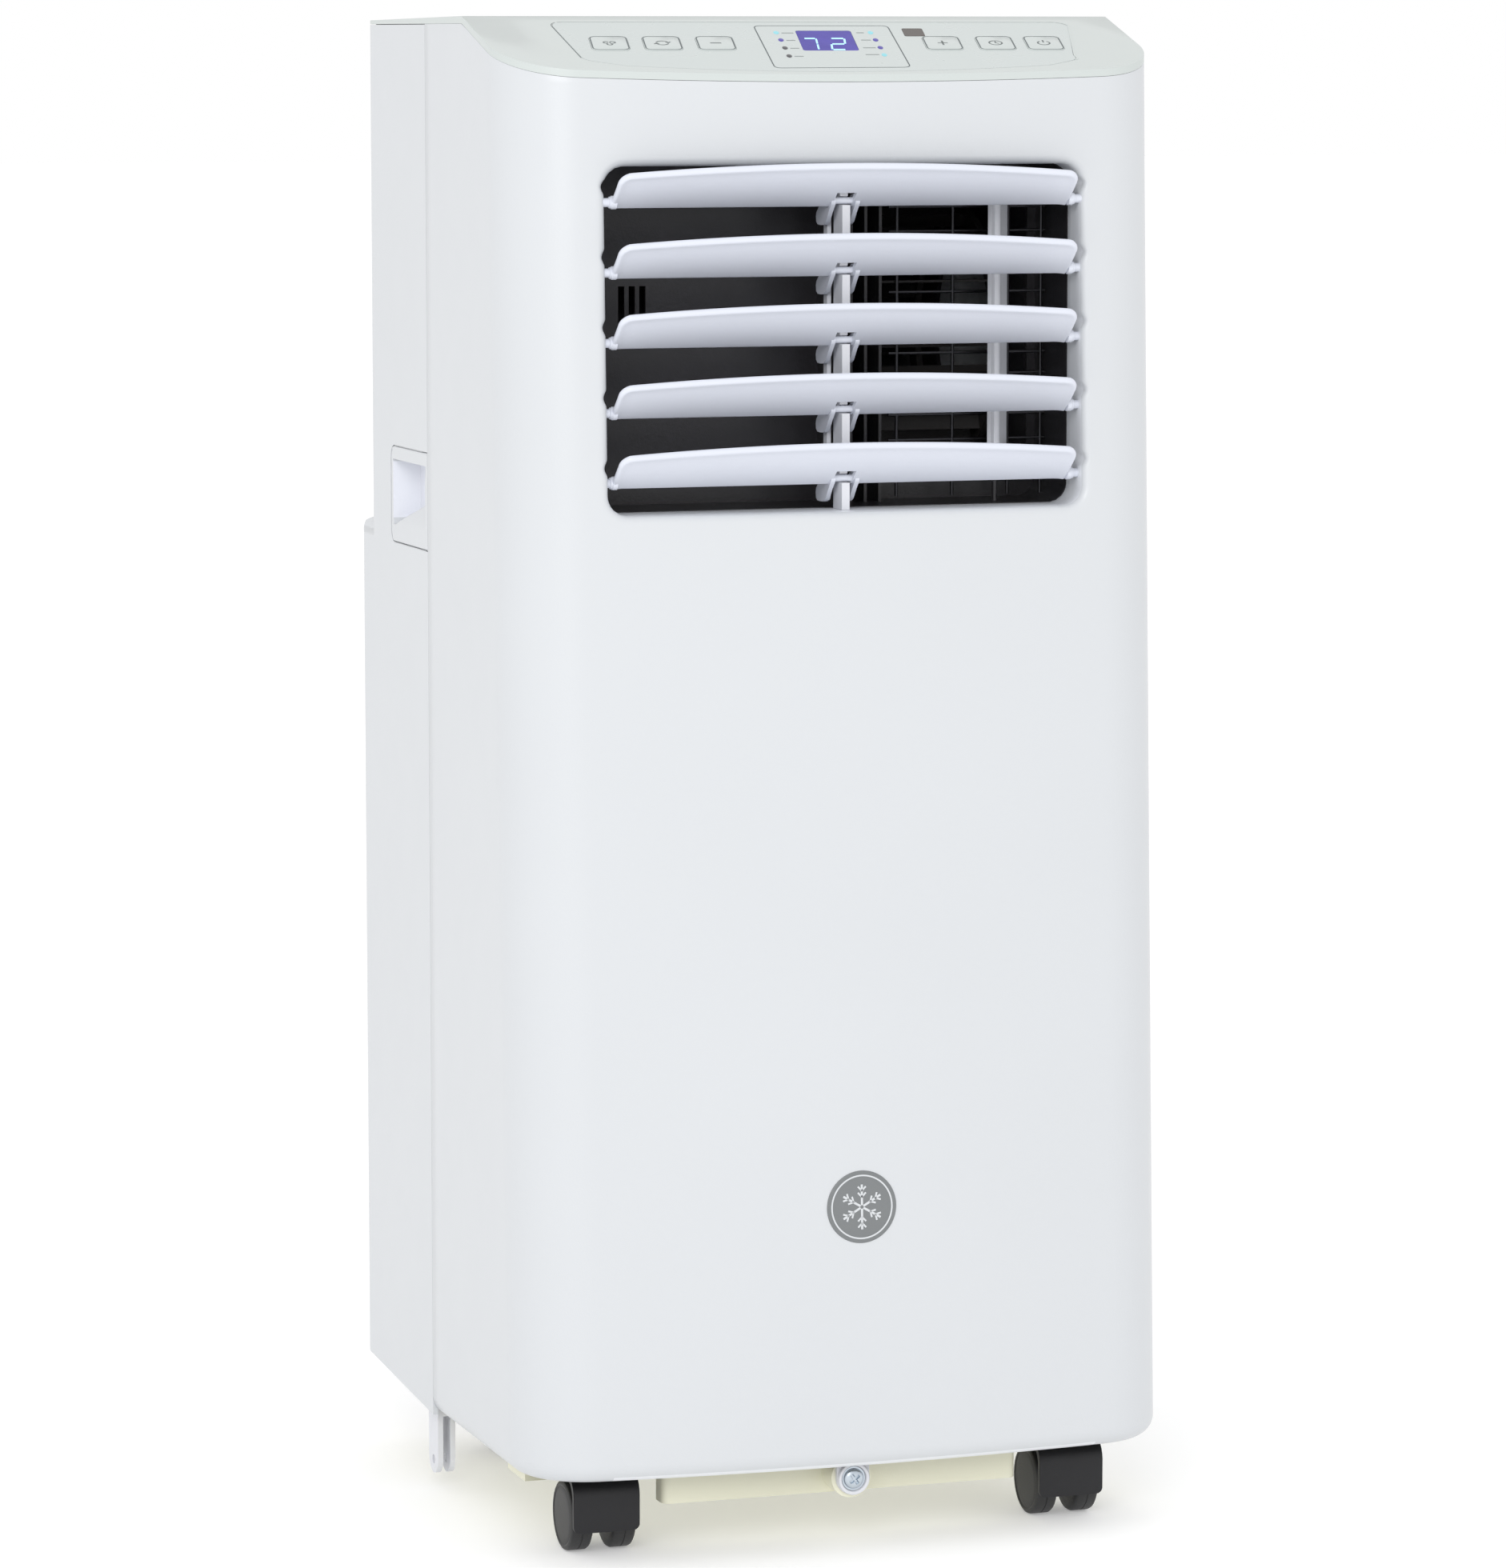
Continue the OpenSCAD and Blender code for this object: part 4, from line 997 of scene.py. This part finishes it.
def build_caster(i):
    cx, cy = CASTERS[i]
    half, low = 15.6, 11.5
    outer = [(-14.6, 22), (-14.6, 28), (-14.2, 30.2), (-13.2, 32.4), (-11.6, 34.4), (-9.4, 36), (-7, 36.8),
             (-5, 37), (10, 37)]
    inner = [(10, 34.6), (-5.2, 34.6), (-7.6, 34), (-9.6, 32.6), (-11.2, 30.6), (-12.2, 28.2), (-12.4, 22)]
    cut = 3.0
    xs = [half] + [half - cut * (1 - math.cos(math.pi / 2 * k / 6)) for k in range(1, 7)] + [8.0, 4.0]
    xs = xs + [0.0] + [-x for x in reversed(xs)]
    rows = []
    for x in sorted(set(round(v, 5) for v in xs)):
        over = max(0.0, abs(x) - (half - cut))
        z = low + cut - math.sqrt(max(0.0, cut * cut - over * over))
        ring = [(-14.6, z)] + outer + inner + [(-12.4, z)]
        rows.append([mm(cx + x, cy + u, v) for u, v in ring])
    hood = loft(rows)
    web = [(TRAIL + 18 * math.cos(a), WHEEL_R + 18 * math.sin(a)) for a in
           (math.radians(d) for d in range(30, 151, 10))]
    web = [(min(14.0, max(-12.6, u)), v) for u, v in web] + [(-12.6, low), (14.0, low)]
    bore = [(TRAIL + 2.1 * math.cos(a), WHEEL_R + 2.1 * math.sin(a)) for a in
            (math.pi * k / 12 for k in range(24))]
    plate = outline_prism(web, [bore], -4.0, 4.0, lambda u, v, h: mm(cx + h, cy + u, v))
    flange = lathe([(0, 6.2), (0.6, 7.0), (4.2, 7.0), (4.8, 6.4), (4.8, 4.0), (22.6, 4.0), (23.4, 3.2)],
                   (cx, cy, 32.6), (0, 0, 1), 40)
    ob = new_object(f"caster_fork_{i + 1}_looks", merge(hood, plate, flange), CASTER, f"swivel_{i + 1}",
                    smooth=40)
    add_bevel(ob, 0.55, 3, 45)
    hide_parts(f"caster_fork_{i + 1}")
    prof = [(0, 11.5), (0, 14.4), (0.45, 15.4), (1.4, 16.0), (5.0, 16.0), (5.1, 15.75), (5.5, 15.75), (5.6, 16.0),
            (9.0, 16.0), (10.0, 15.6), (10.5, 14.8), (10.55, 14.1), (10.2, 13.6), (10.1, 13.2), (10.3, 12.8),
            (10.45, 10.5), (10.55, 7), (10.6, 3.6), (10.6, 0)]
    bms = []
    for s in (-1, 1):
        bms.append(lathe(prof, (cx + s * 4.8, cy + TRAIL, WHEEL_R), (s, 0, 0), 72))
    bms.append(lathe([(0, 2.0), (29.2, 2.0)], (cx - 14.6, cy + TRAIL, WHEEL_R), (1, 0, 0), 24))
    ob = new_object(f"caster_wheels_{i + 1}_looks", merge(*bms), TYRE, f"wheels_{i + 1}", smooth=35)
    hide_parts(f"caster_wheels_{i + 1}")


# ---------- which node gets what ----------

SLOT = {s["node"]: s["material_slot"] for s in frame["record"]["subparts"]}
BODY = {n: b for b, ns in frame["record"]["behaviour"]["bodies"].items() for n in ns}


def soften(node, mat, **kw):
    return soft_copy(node, node + "_looks", mat, BODY[node], slot=SLOT[node], **kw)


paint(DUCT, "outlet_duct", "upper_scroll", "lower_scroll")
paint(DARK, "divider_tray", "control_box", "upper_blower", "lower_blower")
paint(WIRE, "wire_guard")
paint(STEEL, "caster_sockets", "run_capacitor")
paint(FIN, "evaporator", "condenser")
paint(COPPER, "refrigerant_pipes")
paint(MOTOR, "upper_motor", "lower_motor", "compressor")
paint(RUBBER, "compressor_feet", "drain_plug_upper", "drain_plug_base", "cord_gland")
paint(BOARD, "key_board")
paint(MESH, "air_filter")
paint(SMOKE, "ir_window")
paint(LCD, "display_window")

build_front_shell()
build_screw_tab()
build_screw()
soften("rear_shell", WHITE, width=0.0008, segments=3)
soften("top_cover", COVER, width=0.00018, segments=2)
build_overlay()
build_panel_prints()
build_digits()
build_keys()
build_badge()
for i in range(5):
    build_louver(i)
soften("louver_post", PIVOT, width=0.0004, segments=2)
soften("louver_link", PIVOT, width=0.0003, segments=2)
soften("guide_vane", PIVOT, width=0.0003, segments=2)
soften("base_pan", CREAM, width=0.0008, segments=3)
build_handle(-1)
build_handle(1)
soften("lug_bracket", PIVOT, width=0.0004, segments=2)
soften("lower_grille", WHITE, width=0.0004, segments=2)
soften("filter_door", WHITE, width=0.0004, segments=2)
soften("exhaust_collar", WHITE, width=0.0006, segments=2)
for i in range(4):
    build_caster(i)

# ---------- studio ----------


def studio():
    bm = bmesh.new()
    bmesh.ops.create_grid(bm, x_segments=4, y_segments=4, size=30.0)
    me = bpy.data.meshes.new("floor")
    bm.to_mesh(me)
    bm.free()
    floor = bpy.data.objects.new("floor", me)
    bpy.context.scene.collection.objects.link(floor)
    floor.location = (0, 0, CAD_BOX[0][2] - 0.0002)
    me.materials.append(FLOOR)
    world = bpy.data.worlds.new("studio")
    bpy.context.scene.world = world
    world.use_nodes = True
    bg = world.node_tree.nodes["Background"]
    bg.inputs["Color"].default_value = (1, 1, 1, 1)
    bg.inputs["Strength"].default_value = 1.0

    light = bpy.data.lights.new("key_light", "AREA")
    light.energy = 31
    light.size = 1.4
    ob = bpy.data.objects.new("key_light", light)
    ob.location = (-1.35, -2.75, 1.7)
    ob.rotation_euler = (Vector((0, 0, 0.35)) - ob.location).to_track_quat("-Z", "Y").to_euler()
    bpy.context.scene.collection.objects.link(ob)


def camera():
    data = bpy.data.cameras.new("camera")
    data.lens = 143.18
    data.sensor_width = 36.0
    data.clip_end = 60.0
    ob = bpy.data.objects.new("camera", data)
    place = Vector((-0.9194, -2.7572, 0.6838))
    aim = Vector((-0.00011, 0.0106, 0.33324))
    ob.location = place
    ob.rotation_euler = (aim - place).to_track_quat("-Z", "Y").to_euler()
    bpy.context.scene.collection.objects.link(ob)
    bpy.context.scene.camera = ob


studio()
camera()
bpy.context.scene.view_settings.view_transform = "Standard"
